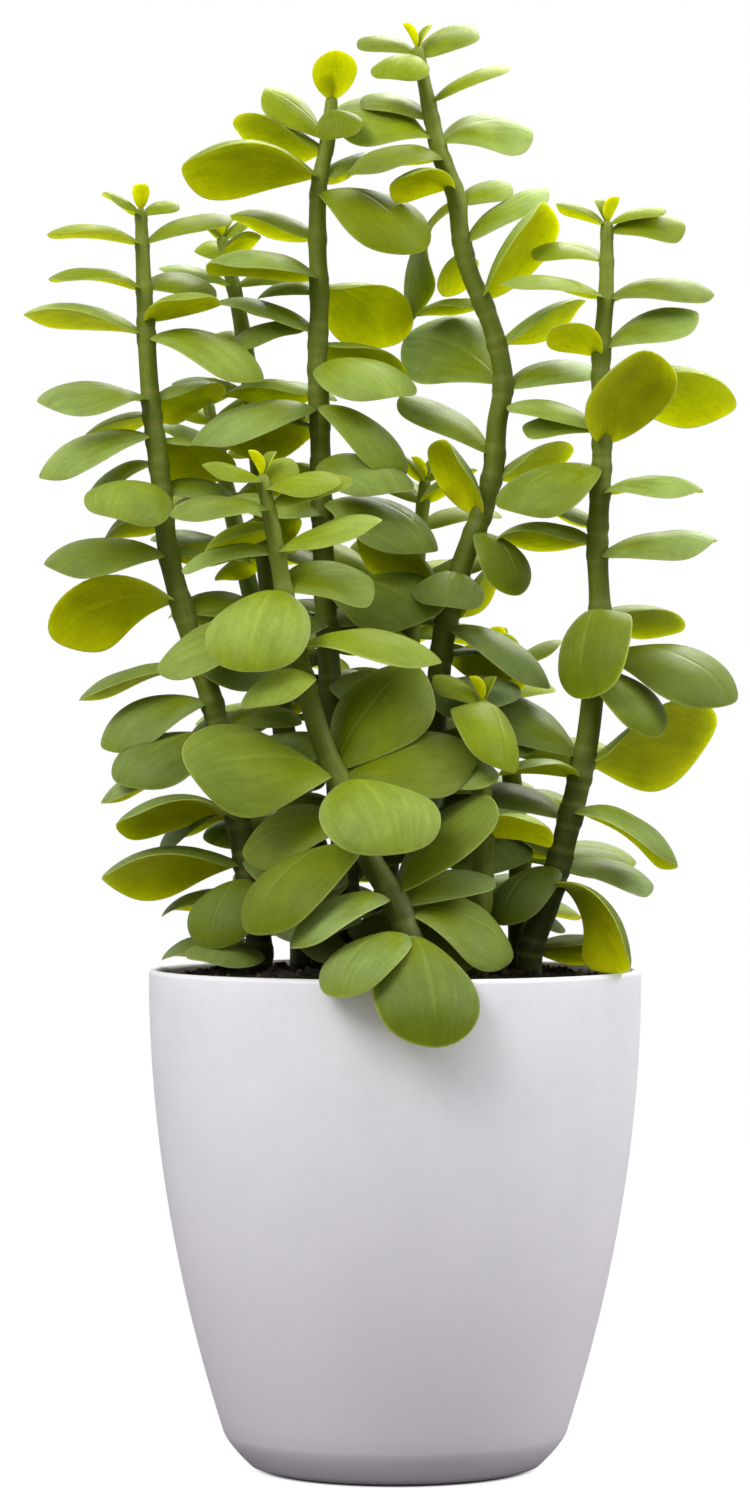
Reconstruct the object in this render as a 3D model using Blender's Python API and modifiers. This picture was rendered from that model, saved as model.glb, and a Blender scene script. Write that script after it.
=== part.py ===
"""A jade plant: eleven leafy stems standing in the soil of a tapered white pot.

Metres, +Z up. The origin is the centre of the pot's foot, on the surface it stands on.
The photograph looks along +Y, so +X is to its right and the front of the plant is at -Y.
"""

import math
import random
from dataclasses import dataclass, replace

import bmesh
import bpy
import numpy as np
from mathutils.bvhtree import BVHTree

MM = 0.001

# Pot
POT_HEIGHT = 0.1215
POT_RIM_RADIUS = 0.060
POT_WALL = 0.0024
POT_TAPER = 0.0212
POT_TAPER_POWER = 2.0
POT_CORNER_HEIGHT = 0.009
POT_CORNER_DROP = 0.0046
POT_CORNER_POWER = 1.5
POT_CORNER_END = 0.0012
POT_EDGE_WIDTH = 0.0018
POT_EDGE_HEIGHT = 0.0004
POT_FLOOR = 0.0045
FLOOR_CURVE = 0.008
FLOOR_CURVE_REACH = 0.007
FOOT_RADIUS = 0.031
FOOT_WIDTH = 0.004
FOOT_HEIGHT = 0.0016
FOOT_PAD_RADIUS = 0.009
FOOT_NOTCH_WIDTH = 0.006
FOOT_NOTCH_HEIGHT = 0.0013
FOOT_NOTCH_BEARINGS = (-28, 152)
TURN_STEPS = 36

# Soil
SOIL_GAP = 0.0003
SOIL_BELOW_RIM = 0.0030
SOIL_MOUND = 0.0035
SOIL_LUMP = 0.0006
SOIL_WAVES = (310, 270, 640)
SOIL_SHOULDER = 0.0005
STEM_DEPTH_IN_SOIL = 0.014
STEM_STRAIGHT_ABOVE_SOIL = 0.0015
HOLE_SIDES = 8
HOLE_SLACK = 0.0007

# Stems
STEM_RADIUS = 0.0031
STEM_TIP_RADIUS = 0.0013
STEM_TAPER_POWER = 0.6
STEM_TAPER_LENGTH = 0.030
STEM_TOP_SHARE = 0.62
STEM_SIDES_PER_CORNER = 1
STEM_STEP = 0.020
BUD_ABOVE_TOP_PAIR = 0.0015

# Leaves
LEAF_WIDTH_SHARE = 0.80
LEAF_THICKNESS_SHARE = 0.05
LEAF_LEAST_THICKNESS = 0.0009
PETIOLE_HALF_WIDTH_SHARE = 0.045
LEAF_BASE_POWER = 0.66
LEAF_TIP_POWER = 0.43
LEAF_STATIONS = (0.0, 0.18, 0.50, 0.84)
LEVEL_LEAF_BEND = 62
BEND_LOST_PER_DEGREE = 0.6
LEAF_CUP = 0.33
ROOT_OFFSET_SHARE = 0.3

# Room that each leaf keeps round itself while it grows
LEAF_CLEARANCE = 0.0006
POT_CLEARANCE = 0.0010
GUARD_SIDES = 6

# How a leaf moves to clear its neighbours: turned and lifted by these degrees, shortened to these
# shares. The moves are tried from the least to the most, each weighed against its unit
TURNS = (0, 8, -8, 16, -16, 25, -25, 35, -35)
LIFTS = (0, 8, -8, 16, -16, 26)
SHRINKS = (1.0, 0.9, 0.8, 0.7, 0.6)
TURN_UNIT = 10
LIFT_UNIT = 9
SHRINK_UNIT = 0.09

# Growth rule of the stems behind: leaf pairs at even spacing, each a quarter turn from the last.
# The pairs at the top are given as (drop in millimetres, share of the full length, climb in degrees)
PAIR_SPACING = 13.5
TOP_PAIRS = ((0.0, 0.36, 42), (5.0, 0.62, 26), (11.5, 0.85, 12))
GROWN_CLIMB = -2
GROWN_ROLL_FRONT = 18
GROWN_ROLL_BACK = 6

# The side of its stem that a leaf's tip is on, and the Y direction of that side
FRONT = -1
BACK = 1

LEAF_GREEN = (0.20, 0.30, 0.06, 1.0)
POT_WHITE = (0.78, 0.77, 0.80, 1.0)
SOIL_BROWN = (0.035, 0.024, 0.016, 1.0)


@dataclass
class Stem:
    """route: points of the axis from the soil up, as (x, y, z) in millimetres.
    leaves: each as (height of its root, how far its tip reaches to the right, how far the tip
    climbs, length from root to tip, side, degrees by which its top is rolled to the viewer).
    Reach, climb and roll are as the front view shows them, and lengths are in millimetres."""

    name: str
    route: tuple
    leaves: tuple


@dataclass
class Leaf:
    """A leaf's place and form. Lengths are in metres and angles in radians."""

    base: tuple
    start: float
    bearing: float
    rise: float
    bend: float
    length: float
    width: float
    cup: float
    roll: float


def grown_leaves(top, bottom, bearing, length):
    """Leaf pairs by the growth rule, from the height top down to bottom, in millimetres."""
    pairs = [(top - drop, length * share, climb) for drop, share, climb in TOP_PAIRS]
    height = top - TOP_PAIRS[-1][0] - PAIR_SPACING
    while height > bottom:
        pairs.append((height, length, GROWN_CLIMB))
        height -= PAIR_SPACING
    leaves = []
    for i, (height, size, climb) in enumerate(pairs):
        for half_turn in (0, 180):
            way = math.radians(bearing + 90 * i + half_turn)
            level = size * math.cos(math.radians(climb))
            side = FRONT if math.sin(way) < 0 else BACK
            roll = GROWN_ROLL_FRONT if side == FRONT else GROWN_ROLL_BACK
            reach = level * math.cos(way)
            rise = size * math.sin(math.radians(climb))
            leaves.append((height, reach, rise, size, side, roll))
    return tuple(leaves)


# Front stems: their leaves follow the photograph
FRONT_STEM = Stem(
    "front_stem",
    ((4, -50, 124), (0, -49, 139), (-6, -46, 149), (-12, -43, 165), (-15.5, -40, 172),
     (-21.5, -39, 191), (-26, -38, 210), (-28.5, -38, 224), (-31.5, -38, 239)),
    (
        (238, -13, 3, 15, FRONT, 30), (237, 6, 7, 12, BACK, 20), (236, 17, 3, 18, FRONT, 28),
        (231, -21, -2, 24, FRONT, 15), (232, 18, 8, 22, BACK, 0), (227, -14, -4, 24, BACK, 15),
        (221, 23, 7, 26, FRONT, 18), (221, -22, -3, 25, BACK, 12), (212, 20, 4, 27, BACK, 28),
        (212, -8, -19, 32, FRONT, 10), (202, -32, -8, 34, BACK, 28), (199, 33, -4, 34, FRONT, 10),
        (192, -10, -7, 24, FRONT, -12), (170, 19, 25, 34, BACK, 30),
        (169, -33, 0, 35, FRONT, 60), (168, 31, 10, 33, BACK, 40), (166, 12, -15, 34, FRONT, 20),
        (152, -25, -20, 34, FRONT, 15), (156, -26, -10, 30, BACK, 40), (141, 22, 23, 33, BACK, 15),
        (140, -23, -11, 27, FRONT, 5), (138, 21, 7, 26, BACK, 10), (136, 26, -10, 32, BACK, 50),
        (131, 6, -24, 34, FRONT, 0), (131, -16, -13, 28, FRONT, 0),
    ),
)
RIGHT_STEM = Stem(
    "right_stem",
    ((32.5, -8, 124), (37, -8, 138), (40.5, -8, 151), (44, -8, 165), (46.5, -8, 177), (48, -8, 189),
     (49.5, -8, 202), (49, -8, 226), (50, -8, 243), (50, -8, 272), (51, -8, 284), (51.3, -8, 302)),
    (
        (302, -12, 5, 13, FRONT, 0), (302, 14, 4, 15, BACK, 0), (300, 19, 3, 21, BACK, 30),
        (293, -17, 4, 20, BACK, 20), (284, 26, 2, 27, BACK, 10), (284, -25, 3, 26, FRONT, 5),
        (272, 23, 9, 25, BACK, 20), (270, -12, 6, 16, FRONT, -25), (249, 9, 21, 29, FRONT, 0),
        (265, 31, -8, 33, BACK, -20), (252, -24, 8, 27, BACK, 2), (252, -18, 2, 20, BACK, 20),
        (237, 23, 0, 25, FRONT, 5), (243, -22, -11, 28, FRONT, 25), (229, -12, 5, 22, BACK, -15),
        (222, 27, 3, 29, FRONT, 12), (225, -22, 1, 26, BACK, -12), (209, -5, -22, 29, FRONT, -35),
        (208, 17, -5, 24, BACK, -15), (197, 31, -11, 34, FRONT, 22), (193, 13, -15, 25, FRONT, -10),
        (172, 31, 8, 34, BACK, -60), (173, -23, 17, 30, BACK, 15), (168, -18, 2, 22, FRONT, -12),
        (158, -22, 8, 26, BACK, 5), (160, 24, -13, 30, FRONT, -22), (149, -15, 5, 24, BACK, -30),
        (146, 23, -4, 26, BACK, 12), (146, -14, -10, 24, FRONT, 0), (142, 17, -20, 32, FRONT, -65),
        (127, 20, -3, 27, BACK, -12),
    ),
)
LEFT_STEM = Stem(
    "left_stem",
    ((-33, 0, 124), (-36, -1, 145), (-40, -2, 166), (-45, -3, 188), (-52, -3, 210), (-55, -3, 222),
     (-57, -3, 240), (-59.5, -2, 260), (-61, -1, 284), (-62, 0, 306)),
    (
        (305, -8, 5, 11, FRONT, 25), (305, 8, 4, 11, BACK, 10), (298, -22, 2, 23, FRONT, 4),
        (298, 20, 8, 24, BACK, 10), (287, -22, 2, 23, FRONT, 4), (287, 16, 2, 22, BACK, 25),
        (276, -29, 5, 30, BACK, -10), (279, 16, 5, 22, FRONT, 0), (275, 27, -11, 30, FRONT, 18),
        (260, -25, -2, 27, FRONT, 28), (260, 12, 0, 24, BACK, -35), (256, -13, -6, 24, BACK, 15),
        (251, -27, -10, 29, FRONT, 18), (250, 13, -9, 25, BACK, -20), (244, -15, -4, 26, BACK, 30),
        (237, -10, -7, 27, FRONT, 30), (237, 14, 2, 26, BACK, 10), (232, -12, -5, 26, BACK, 20),
        (222, -28, -3, 30, FRONT, 18), (222, 16, 0, 26, BACK, 0), (211, -29, -10, 31, FRONT, -50),
        (208, 14, 4, 26, BACK, 10), (194, -29, -7, 31, BACK, 5), (194, 18, -4, 26, FRONT, 10),
        (186, -26, -11, 28, FRONT, 30), (178, -23, -8, 28, FRONT, 25), (180, 16, 4, 26, BACK, 5),
        (169, -30, -7, 31, BACK, 5), (168, 16, -2, 26, FRONT, 10), (158, -28, -1, 31, FRONT, -22),
        (160, -23, -4, 27, BACK, 20), (147, -34, -4, 34, FRONT, -25), (148, 20, -7, 28, FRONT, 20),
        (143, -8, -16, 24, FRONT, -5), (138, -20, -3, 27, BACK, 0), (136, 22, -4, 28, FRONT, 25),
        (126, -22, -2, 27, BACK, 5), (125, -15, -4, 24, FRONT, 15),
    ),
)
TALL_LEFT_STEM = Stem(
    "tall_left_stem",
    ((-11, 5, 124), (-14, 5, 166), (-17, 5, 210), (-18.5, 5, 256), (-19, 5, 270), (-18.5, 5, 285),
     (-19, 5, 300), (-18.5, 5, 314), (-16.5, 5, 324), (-15.5, 5, 334)),
    (
        (334, 1, 11, 14, FRONT, 0), (324, -15, 13, 20, BACK, 35), (331, 2, -8, 15, FRONT, 20),
        (322, -20, 8, 24, BACK, -35), (315, -33, 1, 35, FRONT, -30), (315, 12, 6, 20, BACK, -20),
        (311, 22, -16, 30, FRONT, 30),
        (300, -21, 6, 26, BACK, -20), (290, -26, 3, 29, FRONT, 3), (288, 16, -13, 27, BACK, -30),
        (286, -10, -1, 20, BACK, 10), (277, -25, 10, 31, BACK, -8), (274, 17, -11, 25, BACK, -15),
        (268, 19, -8, 30, FRONT, 18), (262, -20, 0, 26, BACK, -10), (259, 19, -18, 29, FRONT, -5),
        (258, -31, -9, 33, FRONT, 8), (254, -24, -2, 28, BACK, -25), (245, 20, -8, 28, FRONT, 15),
        (243, -20, -6, 28, BACK, 5), (232, -22, 2, 28, FRONT, 10), (235, 26, -12, 31, FRONT, 15),
        (214, 24, -8, 30, FRONT, 32), (219, -18, 2, 28, BACK, 0), (205, -20, -4, 28, FRONT, 12),
        (205, 18, 4, 28, BACK, 10), (191, -16, -2, 27, BACK, 10), (191, 20, -6, 28, FRONT, 25),
        (176, -20, -4, 27, FRONT, 10), (176, 18, 2, 27, BACK, 10), (160, -18, 2, 27, BACK, 10),
        (160, 14, -3, 26, FRONT, 10), (144, -20, -2, 27, FRONT, 10), (144, 16, 2, 26, BACK, 10),
        (131, 18, 0, 26, FRONT, 45), (131, -17, 2, 26, BACK, 5), (126, -14, 0, 24, FRONT, 45),
    ),
)
TALLEST_STEM = Stem(
    "tallest_stem",
    ((8, 8, 124), (9, 7, 161), (10.5, 6, 190), (12, 5, 203), (14, 4, 212), (17, 4, 222),
     (21, 4, 232), (24, 4, 243), (25, 4, 255), (26.5, 4, 264), (25, 4, 274), (22, 4, 283),
     (18.5, 4, 291), (16, 4, 301), (15, 4, 310), (11, 4, 321), (8, 4, 334), (5.5, 4, 346)),
    (
        (345, -14, 5, 17, BACK, 15), (344, 12, 10, 19, BACK, 15), (343, -7, -6, 17, FRONT, 15),
        (333, 19, 10, 22, BACK, 5), (329, -16, 7, 20, BACK, 10), (323, 23, 5, 27, BACK, 30),
        (324, -24, 10, 26, FRONT, 40), (319, -22, -5, 27, FRONT, 0), (312, -15, 0, 20, FRONT, -28),
        (308, 12, 7, 17, BACK, 15), (309, -14, -28, 33, BACK, 65), (299, 20, 14, 25, BACK, 10),
        (285, 12, 23, 28, FRONT, -5), (296, -4, -9, 16, BACK, 25), (283, -19, 3, 24, BACK, 0),
        (274, 20, 10, 25, BACK, -25), (264, -26, 13, 33, BACK, 50), (263, 21, 7, 26, BACK, 15),
        (247, -22, 15, 28, BACK, 15), (241, 18, 5, 22, BACK, -35), (232, -8, 18, 22, FRONT, 20),
        (228, 13, -13, 22, FRONT, 5), (212, -24, 16, 30, BACK, -38), (217, -18, -6, 27, FRONT, 10),
        (205, 24, -15, 30, FRONT, 0), (206, 13, 13, 22, BACK, -50), (198, 16, -6, 20, BACK, -20),
        (205, -20, 8, 28, BACK, 20), (191, -18, -6, 27, FRONT, 20), (190, 13, -5, 27, FRONT, 25),
        (178, 20, -5, 28, FRONT, 20), (178, -18, 3, 27, BACK, 10), (164, -17, -4, 28, FRONT, 20),
        (164, 18, 2, 27, BACK, 10), (150, 20, -3, 28, FRONT, 20), (150, -16, 2, 27, BACK, 10),
        (136, 14, 0, 26, BACK, 10), (133, -16, -3, 26, FRONT, 40), (127, 13, 0, 24, FRONT, 45),
    ),
)
LOW_RIGHT_STEM = Stem(
    "low_right_stem",
    ((19, -21, 124), (21, -21, 145), (21, -20, 165), (21, -20, 186)),
    (
        (186, 5, -16, 27, FRONT, -35), (185, -13, 2, 20, BACK, 20), (154, 15, 2, 22, FRONT, -30),
        (154, -15, 2, 24, BACK, 15), (170, -10, -4, 24, FRONT, 10), (138, -14, -4, 24, BACK, 10),
        (128, -12, 0, 24, FRONT, 40),
    ),
)

# Stems behind and between: their leaves follow the growth rule
MIDDLE_STEM = Stem(
    "middle_stem",
    ((-3, 25, 124), (0, 24, 165), (4, 22, 205), (7.5, 21, 241)),
    grown_leaves(241, 128, 40, 28),
)
LEFT_BACK_STEM = Stem(
    "left_back_stem",
    ((-23, 25, 124), (-27, 26, 173), (-31, 27, 211), (-36, 28, 266), (-39, 28, 285), (-43, 28, 302)),
    grown_leaves(302, 150, 24, 22),
)
BACK_LEFT_STEM = Stem(
    "back_left_stem",
    ((-14, 41, 124), (-24, 44, 165), (-36, 45, 213), (-47, 42, 262)),
    grown_leaves(262, 128, 50, 26),
)
BACK_MIDDLE_STEM = Stem(
    "back_middle_stem",
    ((12, 40, 124), (8, 43, 160), (1, 45, 200), (-4, 44, 228)),
    grown_leaves(228, 128, 10, 27),
)
BACK_RIGHT_STEM = Stem(
    "back_right_stem",
    ((31, 22, 124), (31, 25, 150), (28, 28, 178), (26, 29, 199)),
    grown_leaves(199, 128, 70, 28),
)

# In the order of growth: a stem's leaves keep clear of the stems named before it
STEMS = (
    FRONT_STEM, RIGHT_STEM, LEFT_STEM, TALL_LEFT_STEM, TALLEST_STEM, LOW_RIGHT_STEM,
    MIDDLE_STEM, LEFT_BACK_STEM, BACK_LEFT_STEM, BACK_RIGHT_STEM, BACK_MIDDLE_STEM,
)


def clear_scene():
    for obj in list(bpy.data.objects):
        bpy.data.objects.remove(obj, do_unlink=True)


def material(name, colour, roughness):
    """A Principled BSDF of one colour, not metallic."""
    made = bpy.data.materials.new(name)
    made.use_nodes = True
    shader = made.node_tree.nodes["Principled BSDF"]
    shader.inputs["Base Color"].default_value = colour
    shader.inputs["Roughness"].default_value = roughness
    shader.inputs["Metallic"].default_value = 0.0
    return made


def new_object(name, mesh, collection):
    obj = bpy.data.objects.new(name, mesh)
    collection.objects.link(obj)
    return obj


def baked(obj, name):
    """A mesh of obj with its modifiers applied, its near points welded, in obj's own space."""
    bpy.context.view_layer.update()
    evaluated = obj.evaluated_get(bpy.context.evaluated_depsgraph_get())
    mesh = bpy.data.meshes.new_from_object(evaluated)
    mesh.name = name
    work = bmesh.new()
    work.from_mesh(mesh)
    bmesh.ops.remove_doubles(work, verts=work.verts, dist=1e-6)
    work.to_mesh(mesh)
    work.free()
    return mesh


def outer_radius(z):
    """The pot's outside: widest at the rim, drawn in towards the foot along a power curve, and
    along a second, steeper one round the corner above the foot."""
    wall = POT_RIM_RADIUS - POT_TAPER * (1 - z / POT_HEIGHT) ** POT_TAPER_POWER
    corner = np.maximum(0, 1 - z / POT_CORNER_HEIGHT) ** POT_CORNER_POWER
    return wall - POT_CORNER_DROP * corner


def inner_radius(z):
    return outer_radius(z) - POT_WALL


def floor_radius():
    """Radius of the pot's flat floor, where the curve up to its wall starts."""
    return inner_radius(POT_FLOOR + FLOOR_CURVE) - FLOOR_CURVE_REACH


def soil_level(radius):
    """Height of the soil without its lumps: a low mound that falls to the wall."""
    edge = inner_radius(POT_HEIGHT - SOIL_BELOW_RIM)
    return POT_HEIGHT - SOIL_BELOW_RIM + SOIL_MOUND * (1 - (radius / edge) ** 2)


def arc(centre, radii, start, end, steps):
    """Points of an elliptical arc in the (radius, height) plane, angles in degrees from +radius."""
    angles = np.radians(np.linspace(start, end, steps))
    return [(centre[0] + radii[0] * math.cos(a), centre[1] + radii[1] * math.sin(a)) for a in angles]


def turned(name, profile, collection):
    """The profile of (radius, height) points spun round Z by a Screw modifier."""
    mesh = bpy.data.meshes.new(name)
    edges = [(i, i + 1) for i in range(len(profile) - 1)]
    mesh.from_pydata([(r, 0, z) for r, z in profile], edges, [])
    obj = new_object(name, mesh, collection)
    screw = obj.modifiers.new("Turn", "SCREW")
    screw.steps = screw.render_steps = TURN_STEPS
    screw.use_merge_vertices = True
    screw.merge_threshold = 1e-5
    return obj


def make_pot(collection, cutters):
    """A turned cup with a round lip, a pad under its middle and a foot ring that notches cross."""
    lip = POT_WALL / 2
    rim_z = POT_HEIGHT - lip
    inner_heights = np.linspace(POT_FLOOR + FLOOR_CURVE, rim_z, 3)
    outer_heights = np.linspace(rim_z, POT_CORNER_HEIGHT, 6)
    corner_heights = np.linspace(POT_CORNER_HEIGHT, POT_CORNER_END, 4)[1:]
    profile = [(0, POT_FLOOR), (floor_radius(), POT_FLOOR)]
    profile += [(inner_radius(z), z) for z in inner_heights]
    profile += arc((POT_RIM_RADIUS - lip, rim_z), (lip, lip), 140, 40, 3)
    profile += [(outer_radius(z), z) for z in [*outer_heights, *corner_heights]]
    profile += [
        (FOOT_RADIUS + POT_EDGE_WIDTH, POT_EDGE_HEIGHT),
        (FOOT_RADIUS, 0),
        (FOOT_RADIUS - FOOT_WIDTH, 0),
        (FOOT_RADIUS - FOOT_WIDTH, FOOT_HEIGHT),
        (FOOT_PAD_RADIUS, FOOT_HEIGHT),
        (FOOT_PAD_RADIUS, 0),
        (0, 0),
    ]
    pot = turned("pot", profile, collection)
    for i, bearing in enumerate(FOOT_NOTCH_BEARINGS):
        middle = FOOT_RADIUS - FOOT_WIDTH / 2
        bpy.ops.mesh.primitive_cube_add(size=1)
        notch = bpy.context.object
        notch.name = f"foot_notch_{i}"
        notch.scale = (3 * FOOT_WIDTH, FOOT_NOTCH_WIDTH, 2 * FOOT_NOTCH_HEIGHT)
        notch.rotation_euler.z = math.radians(bearing)
        notch.location = (
            middle * math.cos(math.radians(bearing)),
            middle * math.sin(math.radians(bearing)),
            0,
        )
        notch.hide_render = True
        notch.display_type = "WIRE"
        bpy.context.collection.objects.unlink(notch)
        cutters.objects.link(notch)
        cut = pot.modifiers.new(f"Notch {i}", "BOOLEAN")
        cut.operation = "DIFFERENCE"
        cut.object = notch
    pot.data.materials.append(material("white pot", POT_WHITE, 0.45))
    return pot


def make_soil(collection, cutters):
    """The soil fills the pot inside a thin gap. Its top is a lumpy mound with a hole for each stem."""
    edge_z = POT_HEIGHT - SOIL_BELOW_RIM
    edge = inner_radius(edge_z) - SOIL_GAP
    profile = [(r, soil_level(r)) for r in np.linspace(0, edge - SOIL_SHOULDER, 4)]
    heights = np.linspace(edge_z - 2 * SOIL_SHOULDER, POT_FLOOR + FLOOR_CURVE, 3)
    profile += [(inner_radius(z) - SOIL_GAP, z) for z in heights]
    profile += [(floor_radius() - SOIL_GAP, POT_FLOOR + SOIL_GAP), (0, POT_FLOOR + SOIL_GAP)]
    blank = turned("soil_blank", profile, collection)
    mesh = baked(blank, "soil")
    bpy.data.objects.remove(blank, do_unlink=True)
    along_x, along_y, along_both = SOIL_WAVES
    for vertex in mesh.vertices:
        x, y, z = vertex.co
        if z > edge_z - SOIL_SHOULDER:
            fade = 1 - (math.hypot(x, y) / edge) ** 6
            wave = math.sin(along_x * x + 2) * math.cos(along_y * y) + math.sin(along_both * (x - y))
            vertex.co.z += SOIL_LUMP * fade * wave
    soil = new_object("soil", mesh, collection)
    for stem in STEMS:
        x, y, _ = np.array(stem.route[0]) * MM
        hole = bmesh.new()
        bmesh.ops.create_cone(
            hole,
            cap_ends=True,
            segments=HOLE_SIDES,
            radius1=STEM_RADIUS + HOLE_SLACK,
            radius2=STEM_RADIUS + HOLE_SLACK,
            depth=2 * (STEM_DEPTH_IN_SOIL + SOIL_GAP),
        )
        hole_mesh = bpy.data.meshes.new(f"hole_{stem.name}")
        hole.to_mesh(hole_mesh)
        hole.free()
        cutter = new_object(f"hole_{stem.name}", hole_mesh, cutters)
        cutter.location = (x, y, POT_HEIGHT)
        cutter.hide_render = True
        cutter.display_type = "WIRE"
        cut = soil.modifiers.new(f"Hole {stem.name}", "BOOLEAN")
        cut.operation = "DIFFERENCE"
        cut.object = cutter
    soil.data.materials.append(material("potting soil", SOIL_BROWN, 0.95))
    return soil


def whole_route(stem):
    """The stem's route in metres, with its straight foot in the soil added below."""
    route = np.array(stem.route, float) * MM
    x, y, _ = route[0]
    surface = soil_level(math.hypot(x, y)) + STEM_STRAIGHT_ABOVE_SOIL
    foot = [(x, y, POT_HEIGHT - STEM_DEPTH_IN_SOIL), (x, y, surface)]
    return np.vstack([foot, route])


def axis_at(route, z):
    """Point of the stem's axis at height z: cubics through the route's points, with the slope at
    each point the mean of the runs beside it."""
    heights, across = route[:, 2], route[:, :2]
    slopes = np.gradient(across, heights, axis=0)
    slopes[:2] = 0
    z = np.clip(z, heights[0], heights[-1])
    i = np.clip(np.searchsorted(heights, z) - 1, 0, len(heights) - 2)
    gap = heights[i + 1] - heights[i]
    t = (z - heights[i]) / gap
    place = (
        (1 + 2 * t) * (1 - t) ** 2 * across[i]
        + t * (1 - t) ** 2 * gap * slopes[i]
        + t**2 * (3 - 2 * t) * across[i + 1]
        + t**2 * (t - 1) * gap * slopes[i + 1]
    )
    return np.array([place[0], place[1], z])


def stem_radius(route, z):
    """Thick at the soil, a little thinner towards the top, and drawn in over the last stretch."""
    foot, top = route[0, 2], route[-1, 2]
    share = (z - foot) / (top - foot)
    along = STEM_RADIUS * (1 - (1 - STEM_TOP_SHARE) * share)
    near_top = np.clip((top - z) / STEM_TAPER_LENGTH, 0, 1)
    return STEM_TIP_RADIUS + (along - STEM_TIP_RADIUS) * near_top**STEM_TAPER_POWER


def leaf_half_width(leaf, s):
    """Half the leaf's width at the share s of its length: a wedge at the base and a round tip."""
    peak = LEAF_BASE_POWER / (LEAF_BASE_POWER + LEAF_TIP_POWER)
    top = peak**LEAF_BASE_POWER * (1 - peak) ** LEAF_TIP_POWER
    blade = s**LEAF_BASE_POWER * (1 - s) ** LEAF_TIP_POWER / top * leaf.width / 2
    petiole = PETIOLE_HALF_WIDTH_SHARE * leaf.length * (1 - s)
    return np.sqrt(blade**2 + petiole**2)


def leaf_points(leaf, s, v, side, swell=0.0):
    """Points on a leaf, for s from 0 at its root to 1 at its tip, v from -1 to 1 across it, and
    side 1 on top, -1 below. The midrib is an arc that starts at the angle rise and turns down by
    bend. The blade arches down to its edges by cup, and rolls about the midrib by roll."""
    s, v = np.broadcast_arrays(np.asarray(s, float), np.asarray(v, float))
    angle = leaf.rise - leaf.bend * s
    out = leaf.length * (math.sin(leaf.rise) - np.sin(angle)) / leaf.bend
    up = leaf.length * (np.cos(angle) - math.cos(leaf.rise)) / leaf.bend
    half = leaf_half_width(leaf, s) + swell
    thickness = max(LEAF_THICKNESS_SHARE * leaf.length, LEAF_LEAST_THICKNESS) * np.sqrt(1 - s**4)
    across = v * half
    lift = -leaf.cup * half * v**2 + side * (thickness / 2 + swell) * (1 - v**2)
    turn = leaf.roll * (1 - (1 - s) ** 3)
    aside = across * np.cos(turn) - lift * np.sin(turn)
    normal = across * np.sin(turn) + lift * np.cos(turn)
    forward = leaf.start + out - normal * np.sin(angle)
    cos_b, sin_b = math.cos(leaf.bearing), math.sin(leaf.bearing)
    return np.stack(
        [
            leaf.base[0] + forward * cos_b - aside * sin_b,
            leaf.base[1] + forward * sin_b + aside * cos_b,
            leaf.base[2] + up + normal * np.cos(angle),
        ],
        axis=-1,
    )


def leaf_mesh(leaf, swell=0.0, stations=LEAF_STATIONS):
    """(points, faces) of a leaf lofted through four-point sections: its two edges, the top of its
    midrib and the underside of its midrib. Both skins are split along like diagonals."""
    points = []
    for s in stations:
        points.append(leaf_points(leaf, s, -1, 1, swell))
        points.append(leaf_points(leaf, s, 0, 1, swell))
        points.append(leaf_points(leaf, s, 1, 1, swell))
        points.append(leaf_points(leaf, s, 0, -1, swell))
    points.append(leaf_points(leaf, 1, 0, 1, swell))
    faces = [(0, 1, 3), (1, 2, 3)]
    last = 4 * (len(stations) - 1)
    for a in range(0, last, 4):
        b = a + 4
        for ridge in (1, 3):
            left = [(a, b, a + ridge), (b, b + ridge, a + ridge)]
            right = [(a + ridge, b + ridge, b + 2), (a + ridge, b + 2, a + 2)]
            skin = left + right
            faces += skin if ridge == 1 else [f[::-1] for f in skin]
    tip = len(points) - 1
    for ridge in (1, 3):
        skin = [(last, tip, last + ridge), (last + ridge, tip, last + 2)]
        faces += skin if ridge == 1 else [f[::-1] for f in skin]
    return np.array(points), faces


def tube_tree(route, swell):
    """A BVH tree of a tube round the stem, thicker than the stem by swell."""
    heights = np.arange(route[0, 2], route[-1, 2], STEM_STEP / 2)
    points, faces = [], []
    for k, z in enumerate(heights):
        centre, radius = axis_at(route, z), stem_radius(route, z) + swell
        for j in range(GUARD_SIDES):
            a = 2 * math.pi * j / GUARD_SIDES
            points.append(centre + (radius * math.cos(a), radius * math.sin(a), 0))
            if k:
                here = GUARD_SIDES * k + j
                there = GUARD_SIDES * k + (j + 1) % GUARD_SIDES
                faces.append((here, there, there - GUARD_SIDES, here - GUARD_SIDES))
    return BVHTree.FromPolygons([tuple(p) for p in points], faces)


def clears_pot(points):
    """True if the points stay above the soil, and outside the pot's wall or over its lip."""
    radius, z = np.hypot(points[:, 0], points[:, 1]), points[:, 2]
    inside = radius < POT_RIM_RADIUS - POT_WALL
    over_soil = z > soil_level(radius) + SOIL_LUMP + POT_CLEARANCE
    height = np.clip(z, 0, POT_HEIGHT)
    beside = radius > outer_radius(height) + POT_CLEARANCE
    over_lip = z > POT_HEIGHT + POT_CLEARANCE
    return bool(np.where(inside, over_soil | over_lip, beside | over_lip).all())


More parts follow.
